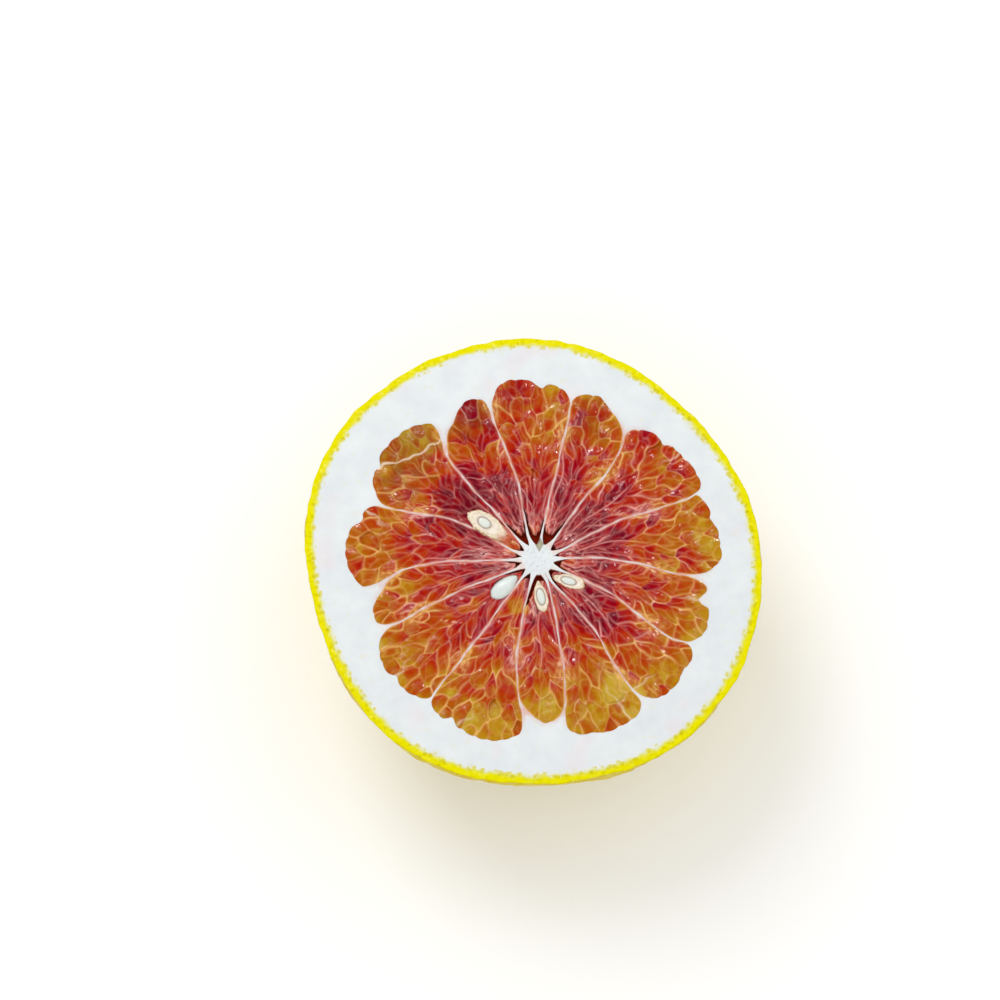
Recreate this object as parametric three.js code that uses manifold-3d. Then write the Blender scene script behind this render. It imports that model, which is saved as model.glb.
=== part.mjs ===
// Half a pomelo, cut across its middle. It lies on its rounded blossom end with the cut face up.
//
// Millimetres, +Z up. The origin is the middle of the flattened resting spot, right below the fruit's
// core, so the fruit's own axis is the Z axis. Angles run from +X towards +Y.
//
// The pieces are the ones that a cut fruit shows: the yellow peel, the white pith with its core and
// the thin walls (septa) that run out from it, one packet of juice sacs in each chamber between two
// walls, and the seeds that lie at the inner ends of four of those packets.

import * as THREE from "three";
import { mergeVertices } from "three/addons/utils/BufferGeometryUtils.js";
import Module from "manifold-3d";

const wasm = await Module();
wasm.setup();

// ---- Driving dimensions ----------------------------------------------------------------------

const RIM_RADIUS = 75; // mean radius of the cut face, from the core to the skin
const CUT_HEIGHT = 74; // height of the cut face above the surface that the half lies on
const DOME_DEPTH = 74.8; // what the dome's depth would be without the flattened resting spot
const DOME_FULLNESS = 0.92; // below 1 the dome is fuller than an ellipse
const PEEL_THICKNESS = 2.8;
const GAP = 0.35; // clearance between neighbouring pieces
const OVERCUT = 2; // how far a solid that cuts a hollow sticks out of the cut face
const PEEL_SIDES = 72;
const PITH_SIDES = 48;
const SKIN_STEPS = 17; // rows of faces from the resting spot to the rim, on the skin
const INNER_STEPS = 9; // the same under the skin

// The cut outline departs from a circle by a few gentle waves: [waves per turn, height, crest angle].
const RIM_WAVES = [
  [1, 1.9, 175],
  [2, 1.75, 315],
  [3, 0.5, 350],
  [4, 0.55, 330],
  [5, 0.6, 15],
];
// Low lumps in the skin: [waves per turn, waves from rim to pole, height].
const SKIN_LUMPS = [
  [9, 2.5, 0.32],
  [14, 4.5, 0.26],
  [23, 6.0, 0.2],
];
const LUMP_FREE = 0.12; // share of the height, from the resting spot up, where the lumps grow in

const CORE_RADIUS = 6.8; // where the chambers begin
const CORE_TAPER = 0.7; // how much narrower the core is at the bottom of the chambers
const PULP_DEPTH = 57; // how far below the cut face the chambers reach
const SEPTUM_THICKNESS = 1.0;
const LOBE_RADIUS = 55; // roughly where the rounding of the chambers' outer ends begins

// The walls between the chambers curve a little, so each is given by its angle in degrees at four
// distances from the core.
const SEPTUM_RADII = [10, 20, 36, 55];
const SEPTUM_BEND = [8.5, 58]; // beyond these distances a wall runs straight out
const SEPTA = [
  [1.5, 0.9, -3.8, -6],
  [22, 25.8, 24.6, 22.7],
  [51, 53.2, 52, 59.5],
  [80.6, 79, 78, 77.9],
  [110.5, 105, 105.3, 106.4],
  [134, 132, 131.9, 125.6],
  [159.5, 154.2, 156.5, 160.8],
  [182, 181.5, 182.5, 191.3],
  [204.6, 202.6, 203.4, 205],
  [231, 232.7, 233.2, 233],
  [254, 255.5, 258.7, 267],
  [290.7, 286.2, 283, 277.5],
  [302, 307.5, 306.5, 305.9],
  [333.5, 335.2, 331, 329.9],
];
// The outer end of each chamber. walls: how far from the core it ends at its own wall and at the next
// one. reach: how far its rounded end comes, near its own wall and near the next one. corners: how
// wide the rounding is on each side.
const LOBES = [
  { walls: [48, 56], reach: [60.5, 60], corners: [6, 19] },
  { walls: [57.5, 49.5], reach: [61, 56.5], corners: [7, 20] },
  { walls: [50, 55], reach: [59.5, 59], corners: [8, 10] },
  { walls: [53.5, 53.5], reach: [58.5, 63.5], corners: [6, 9] },
  { walls: [51, 44], reach: [61.5, 57], corners: [13, 10] },
  { walls: [49, 51], reach: [62.5, 63.5], corners: [15, 15] },
  { walls: [54.5, 47], reach: [62.5, 65], corners: [16, 18] },
  { walls: [44, 47.5], reach: [54.5, 59.5], corners: [5, 5] },
  { walls: [51.5, 56.5], reach: [62.5, 61], corners: [13, 9] },
  { walls: [57.5, 47], reach: [61, 63.5], corners: [7, 17] },
  { walls: [46, 48], reach: [54.5, 56], corners: [7, 5] },
  { walls: [49, 52], reach: [62, 61], corners: [14, 7] },
  { walls: [56, 54], reach: [61.5, 60.5], corners: [7, 9] },
  { walls: [55.5, 47], reach: [61.5, 55], corners: [9, 4] },
];
// How far from the core the juice sacs of each chamber begin. Some leave a small hollow there.
const PULP_STARTS = [7.6, 7.6, 10, 9.3, 10.2, 8, 8.2, 8.4, 8, 7.8, 8, 7.8, 8, 8.6];
const CHAMBERS = SEPTA.length;

// Juice sacs, as they show in the cut face.
const SAC_ROWS = 8; // from the core to the pith
const SAC_WIDTH = 4.7;
const ROW_CROWDING = 0.85; // below 1 the sacs near the core are the longer ones
const SAC_SCATTER = 0.22; // how far a sac's side wanders, as a share of its width
const SAC_SNAP = 0.05; // sides of neighbouring rows that lie closer than this meet in one corner
const SAC_SHIFT = 0.18; // sideways shift from one row to the next, as a share of a sac's width
const SAC_STAGGER = 0.022; // zigzag between two rows, as a share of the chamber's length
const SAC_SCALLOP = 0.014; // how far the sacs' outer ends round off, in the same share
const SAC_RISE = [0.2, 0.75]; // lowest and highest crest above the cut
const SAC_GROOVE = 0.5; // depth of the grooves between sacs
const END_SHARES = [0.08, 0.28]; // where the end of the outermost row gets points, to round it
const CHAMBER_STEPS = [0, 30, 55, 76]; // how steeply the outer wall turns in, in degrees, going down

// Seeds: the chamber each lies in, the place of its middle in the cut face, the direction of its
// pointed end, its length, width and depth, and how far the knife left it standing above the cut.
const SEEDS = [
  { chamber: 5, x: -16.5, y: 11.9, points: -36, length: 13.6, width: 5.8, depth: 5.2, proud: 0.2 },
  { chamber: 8, x: -10.8, y: -9.2, points: 44, length: 10.6, width: 5.6, depth: 4.6, proud: 1.3 },
  { chamber: 10, x: 1.3, y: -12.8, points: 101, length: 10.6, width: 4.9, depth: 4.2, proud: 0.2 },
  { chamber: 12, x: 10.4, y: -8.1, points: 157, length: 10.8, width: 4.8, depth: 4.2, proud: 0.2 },
];
const SEED_POINT = 0.45; // how much narrower the pointed end is
const SEED_SUNK = 0.65; // depth of a seed's middle below its cut, as a share of half its depth

const FINISH = {
  peel: { color: 0xe6cf08, roughness: 0.42, metalness: 0 },
  pith: { color: 0xeceae4, roughness: 0.75, metalness: 0 },
  pulp: { color: 0xb8401c, roughness: 0.22, metalness: 0 },
  seed: { color: 0xe6d3a6, roughness: 0.5, metalness: 0 },
};

// ---- Helpers ---------------------------------------------------------------------------------

const radians = THREE.MathUtils.degToRad;
const lerp = THREE.MathUtils.lerp;

// A seeded random number generator, 0 to 1.
function randomFrom(seed) {
  let state = seed;
  return () => {
    state = (state + 0x6d2b79f5) | 0;
    let mixed = Math.imul(state ^ (state >>> 15), 1 | state);
    mixed = (mixed + Math.imul(mixed ^ (mixed >>> 7), 61 | mixed)) ^ mixed;
    return ((mixed ^ (mixed >>> 14)) >>> 0) / 4294967296;
  };
}

// A closed geometry as a manifold-3d solid, and back again.
function solidOf(geometry) {
  const bare = geometry.clone();
  bare.deleteAttribute("normal");
  bare.deleteAttribute("uv");
  const merged = mergeVertices(bare, 1e-4);
  return new wasm.Manifold(
    new wasm.Mesh({
      numProp: 3,
      vertProperties: merged.attributes.position.array,
      triVerts: new Uint32Array(merged.index.array),
    }),
  );
}

function geometryOf(solid) {
  const mesh = solid.getMesh();
  const geometry = new THREE.BufferGeometry();
  geometry.setAttribute("position", new THREE.BufferAttribute(mesh.vertProperties, 3));
  geometry.setIndex(new THREE.BufferAttribute(mesh.triVerts, 1));
  return geometry;
}

// Moves every vertex of a geometry to where place(point) puts it.
function reshape(geometry, place) {
  const position = geometry.attributes.position;
  const point = new THREE.Vector3();
  for (let i = 0; i < position.count; i++) {
    point.fromBufferAttribute(position, i);
    place(point);
    position.setXYZ(i, point.x, point.y, point.z);
  }
  return geometry;
}

// ---- Peel and pith ---------------------------------------------------------------------------

// The cut outline, as a share of its mean radius.
function outlineShare(angle) {
  let share = 1;
  for (const [waves, height, crest] of RIM_WAVES) {
    share += (height / RIM_RADIUS) * Math.cos(waves * (angle - radians(crest)));
  }
  return share;
}

// Profile of the dome, set in by a given amount, as [radius, height] from the axis to the rim.
function domeProfile(inset, steps) {
  const depth = DOME_DEPTH - inset;
  const radius = RIM_RADIUS - inset;
  const lowest = Math.asin(Math.min(1, (CUT_HEIGHT - inset) / depth));
  const profile = [new THREE.Vector2(0, inset)];
  for (let i = 0; i <= steps; i++) {
    const steep = lowest * (1 - i / steps);
    const height = CUT_HEIGHT - depth * Math.sin(steep);
    profile.push(new THREE.Vector2(radius * Math.cos(steep) ** DOME_FULLNESS, height));
  }
  return profile;
}

// Turns a profile about the Z axis and gives it the fruit's own outline.
function turned(profile, sides) {
  const lathe = new THREE.LatheGeometry(profile, sides).rotateX(Math.PI / 2);
  return reshape(lathe, (point) => {
    const share = outlineShare(Math.atan2(point.y, point.x));
    point.x *= share;
    point.y *= share;
  });
}

// Height of the lumps in the skin, none on the resting spot.
function skinLump(angle, height) {
  const down = 1 - height / CUT_HEIGHT;
  let lump = 0;
  SKIN_LUMPS.forEach(([around, along, size], i) => {
    const turn = around * angle + 2.1 * i + 1.3 * Math.sin(3 * down + i);
    lump += size * Math.sin(turn) * Math.cos(Math.PI * along * down + i);
  });
  return lump * Math.min(1, height / (LUMP_FREE * CUT_HEIGHT));
}

function peel() {
  const skin = [...domeProfile(0, SKIN_STEPS), new THREE.Vector2(0, CUT_HEIGHT)];
  const hollow = domeProfile(PEEL_THICKNESS, INNER_STEPS);
  const rim = hollow[hollow.length - 1].x;
  const above = CUT_HEIGHT + OVERCUT;
  hollow.push(new THREE.Vector2(rim, above), new THREE.Vector2(0, above));
  const outside = reshape(turned(skin, PEEL_SIDES), (point) => {
    const angle = Math.atan2(point.y, point.x);
    const lump = skinLump(angle, point.z);
    point.x += lump * Math.cos(angle);
    point.y += lump * Math.sin(angle);
  });
  return geometryOf(solidOf(outside).subtract(solidOf(turned(hollow, PEEL_SIDES))));
}

function pith() {
  const dome = domeProfile(PEEL_THICKNESS + GAP, INNER_STEPS);
  dome.push(new THREE.Vector2(0, CUT_HEIGHT));
  let solid = solidOf(turned(dome, PITH_SIDES));
  for (let chamber = 0; chamber < CHAMBERS; chamber++) {
    solid = solid.subtract(solidOf(chamberHollow(chamber)));
  }
  for (const seed of SEEDS) solid = solid.subtract(seedHollow(seed));
  return geometryOf(solid);
}

// ---- Chambers --------------------------------------------------------------------------------

// Angle of a wall at a distance from the core, on the smooth curve through its stated angles.
function septumAngle(number, radius) {
  const r = THREE.MathUtils.clamp(radius, ...SEPTUM_BEND);
  let degrees = 360 * Math.floor(number / CHAMBERS);
  SEPTA[number % CHAMBERS].forEach((angle, i) => {
    let weight = 1;
    SEPTUM_RADII.forEach((other, j) => {
      if (j !== i) weight *= (r - other) / (SEPTUM_RADII[i] - other);
    });
    degrees += angle * weight;
  });
  return radians(degrees);
}

// How far a chamber reaches from the core. u runs from 0 at its first wall to 1 at its second.
function chamberReach(chamber, u) {
  const { walls, reach, corners } = LOBES[chamber];
  const turn = septumAngle(chamber + 1, LOBE_RADIUS) - septumAngle(chamber, LOBE_RADIUS);
  const across = turn * LOBE_RADIUS;
  let end = lerp(...reach, u);
  [u, 1 - u].forEach((share, side) => {
    const past = Math.max(0, 1 - (share * across) / corners[side]);
    end = lerp(end, walls[side], 1 - Math.sqrt(1 - past * past));
  });
  return end;
}

// A point of a chamber. u runs across it, v from the core to the pith, and steep is the angle by
// which its outer wall has turned in towards the bottom. grow is 0 for the juice sacs and GAP for
// the hollow that they lie in.
function chamberPoint(chamber, u, v, steep, grow) {
  const reach = (chamberReach(chamber, u) + grow) * Math.cos(steep);
  const taper = lerp(CORE_TAPER, 1, Math.cos(steep));
  const start = taper * (grow > 0 ? CORE_RADIUS : PULP_STARTS[chamber]);
  const r = start + (reach - start) * v;
  const skin = Math.asin((SEPTUM_THICKNESS / 2 + GAP - grow) / r);
  const angle = lerp(septumAngle(chamber, r) + skin, septumAngle(chamber + 1, r) - skin, u);
  const z = CUT_HEIGHT - (PULP_DEPTH + grow) * Math.sin(steep);
  return new THREE.Vector3(r * Math.cos(angle), r * Math.sin(angle), z);
}

// The rows of sacs in a chamber's cut face: between which v each row lies, and at which u the sacs'
// sides are.
function sacRows(chamber, random) {
  const line = (row) => (row / SAC_ROWS) ** ROW_CROWDING;
  const rows = [];
  for (let row = 0; row < SAC_ROWS; row++) {
    const v = (line(row) + line(row + 1)) / 2;
    const across = chamberPoint(chamber, 0, v, 0, 0).distanceTo(chamberPoint(chamber, 1, v, 0, 0));
    const sacs = Math.max(1, Math.round(across / SAC_WIDTH));
    const before = row > 0 ? rows[row - 1].sides : [];
    const sides = [];
    for (let i = 1; i < sacs; i++) {
      const wander = SAC_SCATTER * lerp(-1, 1, random()) + SAC_SHIFT * (row % 2 ? 1 : -1);
      const u = (i + wander) / sacs;
      sides.push(before.find((other) => Math.abs(other - u) < SAC_SNAP) ?? u);
    }
    rows.push({ sides: [...new Set(sides)], from: line(row) });
  }
  return rows;
}

// The corners on the line between two rows, or before the first row, as (u, v).
function rowLine(rows, row) {
  const v = rows[row].from;
  const below = row > 0 ? rows[row - 1].sides : [];
  const above = rows[row].sides;
  const corners = [...new Set([...below, ...above])].sort((p, q) => p - q).map((u) => {
    const stagger = (above.includes(u) ? 1 : 0) - (below.includes(u) ? 1 : 0);
    return { u, v: row > 0 ? v + SAC_STAGGER * stagger : v };
  });
  return [{ u: 0, v }, ...corners, { u: 1, v }];
}

// The line along the outer ends of the last row, scalloped, with rounded ends.
function lobeLine(rows) {
  const stops = [0, ...rows[SAC_ROWS - 1].sides, 1];
  const last = stops.length - 1;
  const corners = [{ u: 0, v: 1 }];
  for (let i = 1; i <= last; i++) {
    const along = (share) => ({ u: lerp(stops[i - 1], stops[i], share), v: 1 });
    if (i === 1) corners.push(...END_SHARES.map(along));
    corners.push(along(0.5));
    if (i === last) corners.push(...END_SHARES.map((share) => along(1 - share)).reverse());
    corners.push({ u: stops[i], v: i === last ? 1 : 1 - SAC_SCALLOP });
  }
  return corners;
}

// All lines of corners of a chamber's sacs, from the core to the pith.
function sacLines(rows) {
  return [...rows.map((_, row) => rowLine(rows, row)), lobeLine(rows)];
}

// A chamber's outline in (u, v), anticlockwise from above, starting at its inner end.
function chamberOutline(lines) {
  const last = lines.length - 1;
  const first = lines.slice(1, last).map((corners) => corners[0]);
  const second = lines.slice(1, last).map((corners) => corners[corners.length - 1]);
  return [...lines[0].slice().reverse(), ...first, ...lines[last], ...second.reverse()];
}

// The rings of points that go down a chamber's sides, as a closed skin below the given top ring.
function addSides(points, faces, top, outline, chamber, grow) {
  const count = outline.length;
  let above = top;
  for (const degrees of CHAMBER_STEPS.slice(1)) {
    const below = outline.map(({ u, v }) => {
      points.push(chamberPoint(chamber, u, v, radians(degrees), grow));
      return points.length - 1;
    });
    for (let i = 0; i < count; i++) {
      const j = (i + 1) % count;
      faces.push([above[i], below[i], below[j]], [above[i], below[j], above[j]]);
    }
    above = below;
  }
  const middle = new THREE.Vector3();
  above.forEach((i) => middle.addScaledVector(points[i], 1 / count));
  points.push(middle);
  above.forEach((index, i) => faces.push([index, points.length - 1, above[(i + 1) % count]]));
}

function indexed(points, faces) {
  const geometry = new THREE.BufferGeometry().setFromPoints(points);
  geometry.setIndex(faces.flat());
  return geometry;
}

// The hollow in the pith that holds one packet of juice sacs, open at the cut.
function chamberHollow(chamber) {
  const outline = chamberOutline(sacLines(sacRows(chamber, randomFrom(chamber + 1))));
  const points = outline.map(({ u, v }) => chamberPoint(chamber, u, v, 0, GAP));
  const faces = [];
  const ring = points.map((_, i) => i);
  addSides(points, faces, ring, outline, chamber, GAP);
  const lid = ring.map((i) => points.push(points[i].clone().setZ(CUT_HEIGHT + OVERCUT)) - 1);
  ring.forEach((i) => {
    const j = (i + 1) % ring.length;
    faces.push([lid[i], ring[i], ring[j]], [lid[i], ring[j], lid[j]]);
  });
  const flat = lid.map((i) => new THREE.Vector2(points[i].x, points[i].y));
  THREE.ShapeUtils.triangulateShape(flat, []).forEach((face) => faces.push(face.map((i) => lid[i])));
  return indexed(points, faces);
}

// Adds a fan of faces that rises from a sac's corners to its crest.
function addSac(points, faces, corners, rise) {
  const crest = new THREE.Vector3();
  corners.forEach(({ index }) => crest.addScaledVector(points[index], 1 / corners.length));
  const top = points.push(crest.setZ(CUT_HEIGHT + rise)) - 1;
  corners.forEach(({ index }, i) => {
    faces.push([top, corners[(i + 1) % corners.length].index, index]);
  });
}

// One packet of juice sacs: each sac stands up a little between grooves in the cut face.
function pulp(chamber) {
  const random = randomFrom(chamber + 1);
  const rows = sacRows(chamber, random);
  const lines = sacLines(rows);
  const points = [];
  const faces = [];
  for (const corner of lines.flat()) {
    const point = chamberPoint(chamber, corner.u, corner.v, 0, 0);
    corner.index = points.push(point.setZ(CUT_HEIGHT - SAC_GROOVE)) - 1;
  }
  rows.forEach(({ sides }, row) => {
    const stops = [0, ...sides, 1];
    for (let i = 1; i < stops.length; i++) {
      const within = ({ u }) => u >= stops[i - 1] && u <= stops[i];
      const corners = [...lines[row].filter(within), ...lines[row + 1].filter(within).reverse()];
      addSac(points, faces, corners, lerp(...SAC_RISE, random()));
    }
  });
  const outline = chamberOutline(lines);
  addSides(points, faces, outline.map((corner) => corner.index), outline, chamber, 0);
  const seeds = SEEDS.filter((seed) => seed.chamber === chamber);
  const whole = solidOf(indexed(points, faces));
  return geometryOf(seeds.reduce((solid, seed) => solid.subtract(seedHollow(seed)), whole));
}

// ---- Seeds -----------------------------------------------------------------------------------

// A seed is a flattened egg with one pointed end. The knife took off what stood above `proud`.
function seedShape(seed, grow) {
  const shape = new THREE.SphereGeometry(1, 14, 10).rotateZ(Math.PI / 2);
  reshape(shape, (point) => {
    const narrow = 1 - SEED_POINT * ((point.x + 1) / 2) ** 2;
    const flat = (seed.depth / 2) * narrow + grow;
    const middle = seed.proud - SEED_SUNK * flat;
    point.x *= seed.length / 2 + grow;
    point.y *= (seed.width / 2) * narrow + grow;
    point.z = Math.min(seed.proud, middle + flat * point.z);
  });
  shape.rotateZ(radians(seed.points));
  return shape.translate(seed.x, seed.y, CUT_HEIGHT);
}

// The hollow that a seed lies in, open at the cut.
function seedHollow(seed) {
  const shape = solidOf(seedShape(seed, GAP));
  return wasm.Manifold.hull([shape, shape.translate([0, 0, OVERCUT])]);
}

// ---- The fruit -------------------------------------------------------------------------------

function mesh(name, geometry, finish) {
  const made = new THREE.Mesh(geometry, new THREE.MeshStandardMaterial(finish));
  made.name = name;
  return made;
}

const fruit = new THREE.Group();
fruit.add(mesh("peel", peel(), FINISH.peel));
fruit.add(mesh("pith", pith(), FINISH.pith));
for (let chamber = 0; chamber < CHAMBERS; chamber++) {
  const number = String(chamber + 1).padStart(2, "0");
  fruit.add(mesh(`pulp_${number}`, pulp(chamber), FINISH.pulp));
}
SEEDS.forEach((seed, i) => fruit.add(mesh(`seed_${i + 1}`, seedShape(seed, 0), FINISH.seed)));

export default fruit;
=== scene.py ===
"""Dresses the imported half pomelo: yellow peel, white pith, wet juice sacs and seeds.

The fruit lies on its blossom end with the cut face up. Lengths are in millimetres until a mesh is
made, in the frame of the CAD model: +Z up, the fruit's core on the Z axis. Angles run from +X
towards +Y. Relief is the height above the plane of the cut.
"""

from collections import namedtuple
import math

import bpy
import numpy as np
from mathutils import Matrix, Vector
from mathutils.geometry import delaunay_2d_cdt
from mathutils.kdtree import KDTree


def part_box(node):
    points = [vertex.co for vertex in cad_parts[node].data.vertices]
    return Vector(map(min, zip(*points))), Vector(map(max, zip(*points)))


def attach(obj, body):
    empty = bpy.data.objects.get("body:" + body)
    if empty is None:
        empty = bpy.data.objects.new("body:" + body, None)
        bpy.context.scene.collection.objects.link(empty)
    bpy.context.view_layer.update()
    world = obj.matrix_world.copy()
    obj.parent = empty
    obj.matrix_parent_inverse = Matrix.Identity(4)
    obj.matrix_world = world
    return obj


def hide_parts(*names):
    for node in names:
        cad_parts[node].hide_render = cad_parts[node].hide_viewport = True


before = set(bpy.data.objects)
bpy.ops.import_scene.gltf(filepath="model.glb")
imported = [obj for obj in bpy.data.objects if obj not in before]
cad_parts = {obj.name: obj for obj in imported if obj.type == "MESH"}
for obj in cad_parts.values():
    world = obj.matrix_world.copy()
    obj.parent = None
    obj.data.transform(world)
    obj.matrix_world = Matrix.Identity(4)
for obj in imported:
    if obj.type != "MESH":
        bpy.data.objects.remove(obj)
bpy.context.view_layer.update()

MM = 0.001
TURN = 2 * math.pi

# ---- Layout of the fruit, as in the CAD model ----

CUT_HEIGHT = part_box("pith")[1][2] / MM
RIM_RADIUS = 75
DOME_DEPTH = 74.8
DOME_FULLNESS = 0.92
PEEL_THICKNESS = 2.8
# Waves of the rim: how many go round, height, and angle of a crest.
RIM_WAVES = ((1, 1.9, 175), (2, 1.75, 315), (3, 0.5, 350), (4, 0.55, 330), (5, 0.6, 15))
# Lumps of the skin: how many go round, how many go down, and height.
SKIN_LUMPS = ((9, 2.5, 0.32), (14, 4.5, 0.26), (23, 6.0, 0.2))
LUMP_FREE = 0.12  # share of the height over which the lumps grow, from the floor up

CORE_TAPER = 0.7  # width of the core at the chambers' lower ends, as a share of that in the cut
PULP_DEPTH = 57
LOBE_RADIUS = 55
SEPTUM_RADII = (10, 20, 36, 55)
SEPTUM_BEND = (8.5, 58)  # nearer to the core and farther out than this, a wall runs straight out
# Angles of each wall between two chambers, at the radii above.
SEPTA = (
    (1.5, 0.9, -3.8, -6),
    (22, 25.8, 24.6, 22.7),
    (51, 53.2, 52, 59.5),
    (80.6, 79, 78, 77.9),
    (110.5, 105, 105.3, 106.4),
    (134, 132, 131.9, 125.6),
    (159.5, 154.2, 156.5, 160.8),
    (182, 181.5, 182.5, 191.3),
    (204.6, 202.6, 203.4, 205),
    (231, 232.7, 233.2, 233),
    (254, 255.5, 258.7, 267),
    (290.7, 286.2, 283, 277.5),
    (302, 307.5, 306.5, 305.9),
    (333.5, 335.2, 331, 329.9),
)
# Each chamber's outer end: where it ends at its two walls, how far it reaches near each of them, and
# how wide its two rounded corners are.
LOBES = (
    ((48, 56), (60.5, 60), (6, 19)),
    ((57.5, 49.5), (61, 56.5), (7, 20)),
    ((50, 55), (59.5, 59), (8, 10)),
    ((53.5, 53.5), (58.5, 63.5), (6, 9)),
    ((51, 44), (61.5, 57), (13, 10)),
    ((49, 51), (62.5, 63.5), (15, 15)),
    ((54.5, 47), (62.5, 65), (16, 18)),
    ((44, 47.5), (54.5, 59.5), (5, 5)),
    ((51.5, 56.5), (62.5, 61), (13, 9)),
    ((57.5, 47), (61, 63.5), (7, 17)),
    ((46, 48), (54.5, 56), (7, 5)),
    ((49, 52), (62, 61), (14, 7)),
    ((56, 54), (61.5, 60.5), (7, 9)),
    ((55.5, 47), (61.5, 55), (9, 4)),
)
CHAMBERS = len(SEPTA)
STEPS_DOWN = (0, 30, 55, 76)  # rows down a chamber's outer wall, in degrees

# points is the direction of the pointed end, and proud the height above the cut.
Seed = namedtuple("Seed", "chamber x y points length width depth proud")
SEEDS = (
    Seed(5, -15.6, 10.7, -36, 17.6, 7.8, 5.2, 0.5),
    Seed(8, -10.9, -9.2, 41, 11.6, 6.8, 4.6, 1.3),
    Seed(10, 0.9, -12.5, 101, 10.6, 5.0, 4.2, 0.4),
    Seed(12, 10.2, -7.5, 164, 11.2, 5.2, 4.2, 0.4),
)
# The cut seeds' kernels: how far from the seed's middle towards its point, length and width.
KERNELS = {1: (-2.4, 4.9, 3.3), 3: (-0.2, 5.9, 2.8), 4: (0.2, 5.4, 2.6)}
WHOLE_SEED = 2  # the one that the knife missed
SEED_POINT = 0.45  # how much narrower a seed is at its pointed end

# ---- Finer shape of the cut face ----

CORE_EDGE = 5.3  # where the hollows between the walls' roots begin
SEPTUM_HALF = 0.25  # half the thickness of a wall between two chambers
SEPTUM_ROOT = (0.8, 1.9)  # how much thicker a wall is at the core, and over what distance
SEPTUM_SHARE = 0.44  # the most that half a wall takes of the distance between two walls
SCALLOP = (0.45, 0.9)  # depth and half-width of the dips where two sacs meet at the pith
# Where along each chamber's outer end a deeper dip lies, from 0 to 1, and how deep it is.
DIPS = (
    (0.65, 1.2),
    (0.5, 1.4),
    (0.16, 1.6),
    (0.4, 1.8),
    (0.76, 1.8),
    (0.7, 1.5),
    (0.2, 2.0),
    (0.7, 1.0),
    (0.55, 1.2),
    (0.25, 2.0),
    (0.65, 1.2),
    (0.35, 1.3),
    (0.6, 1.0),
    (0.65, 3.0),
)
DIP_HALF = 1.8  # half-width of a dip
# How far from the core the sacs of each chamber begin; inside that lies a hollow, painted dark as
# shade.
TIPS = (6.6, 6.6, 9.4, 8.6, 9.6, 6.8, 7.0, 7.4, 6.8, 6.8, 6.8, 6.8, 6.8, 7.6)
# Slits beside a wall, painted dark as shade: chamber, side (0 its first wall, 1 its second), how
# far out, and width.
SLITS = (
    (1, 0, 9, 0.5),
    (2, 0, 16, 1.3),
    (2, 1, 13, 0.6),
    (3, 0, 15, 0.7),
    (3, 1, 19, 0.9),
    (4, 0, 14, 0.6),
    (4, 1, 17, 1.3),
    (7, 0, 11, 0.8),
    (8, 0, 13, 0.7),
    (10, 0, 17, 1.3),
    (12, 0, 16, 0.7),
    (13, 0, 12, 0.9),
    (13, 1, 10, 0.5),
)
SLIT_DEPTH = 2.4
SEED_BED = (-0.3, -1.8)  # hollow under a seed: how far it runs past the outline, and its height
SEED_BED_POINTS = 60
RELIEF_RANGE = (-1.2, 0.8)  # the lowest and the highest place on the sacs
PULP_STEP = 0.29  # spacing of points over the sacs
PULP_CLEARANCE = 0.18  # the least distance of those points from the edges
PULP_LIP = -0.15  # a row of points inside a chamber's outline
LIP_CLEARANCE = 0.1
GRAIN_STRETCH = 3.5  # how much longer than wide the threads in the pale skins are
OUTLINE_STEPS = (150, 96)  # points along a wall, and along the outer end

# Size, in the cut, of the sacs by distance from the core; lean is how far their outer ends turn
# towards the nearer wall, in radians.
SAC_RADII = (8, 20, 35, 50, 62)
SAC_WIDTHS = (2.1, 2.9, 3.6, 4.5, 5.2)
SAC_LENGTHS = (11, 11.5, 11, 9, 7.5)
SAC_LEAN = (0.05, 0.45, 0.85, 0.6, 0.15)
SAC_SPACING = 0.78  # the least distance between two middles, as a share of a sac's size
SAC_TRIES = 9000
SAC_SCALES = (0.65, 1.45)  # the least and the most that a sac's size is multiplied by
VEIN_SCALE = 0.6  # size of the fainter second pattern inside the sacs
VEIN_STRENGTH = 0.28  # how pale its lines are
VEIN_TONE = 0.2  # how much the second pattern changes the red
SAC_WARP = (0.45, 7)  # how far the sacs' borders stray, and over what distance
WALL_WIDTHS = (0.16, 0.42)
WALL_STRENGTHS = (0.2, 0.95)
SAC_BULGE = (0.1, 0.45)  # how high a sac's middle stands over its edge
SAC_LEVEL = 0.13  # how much the sacs differ in height
SAC_TILT = 0.06
TORN_SHARE = 0.05  # share of the sacs that are torn
TORN_DEPTH = 0.9
THREADS = 3  # long pale threads that run out from the core in each chamber
THREAD_HALF = (0.16, 0.3)
# How far from the core the sacs' pale stalks meet, on each wall between two chambers.
KNOTS = (36, 35, 33, 40, 50, 48, 40, 46, 40, 37, 30, 34, 44, 38)
KNOT_HALF = 0.22  # how much thicker a wall is there
KNOT_LENGTH = 2.2
FAN = (13, 0.5, 1.8)  # pale fan beyond a knot: length, spread and width at the knot

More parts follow.
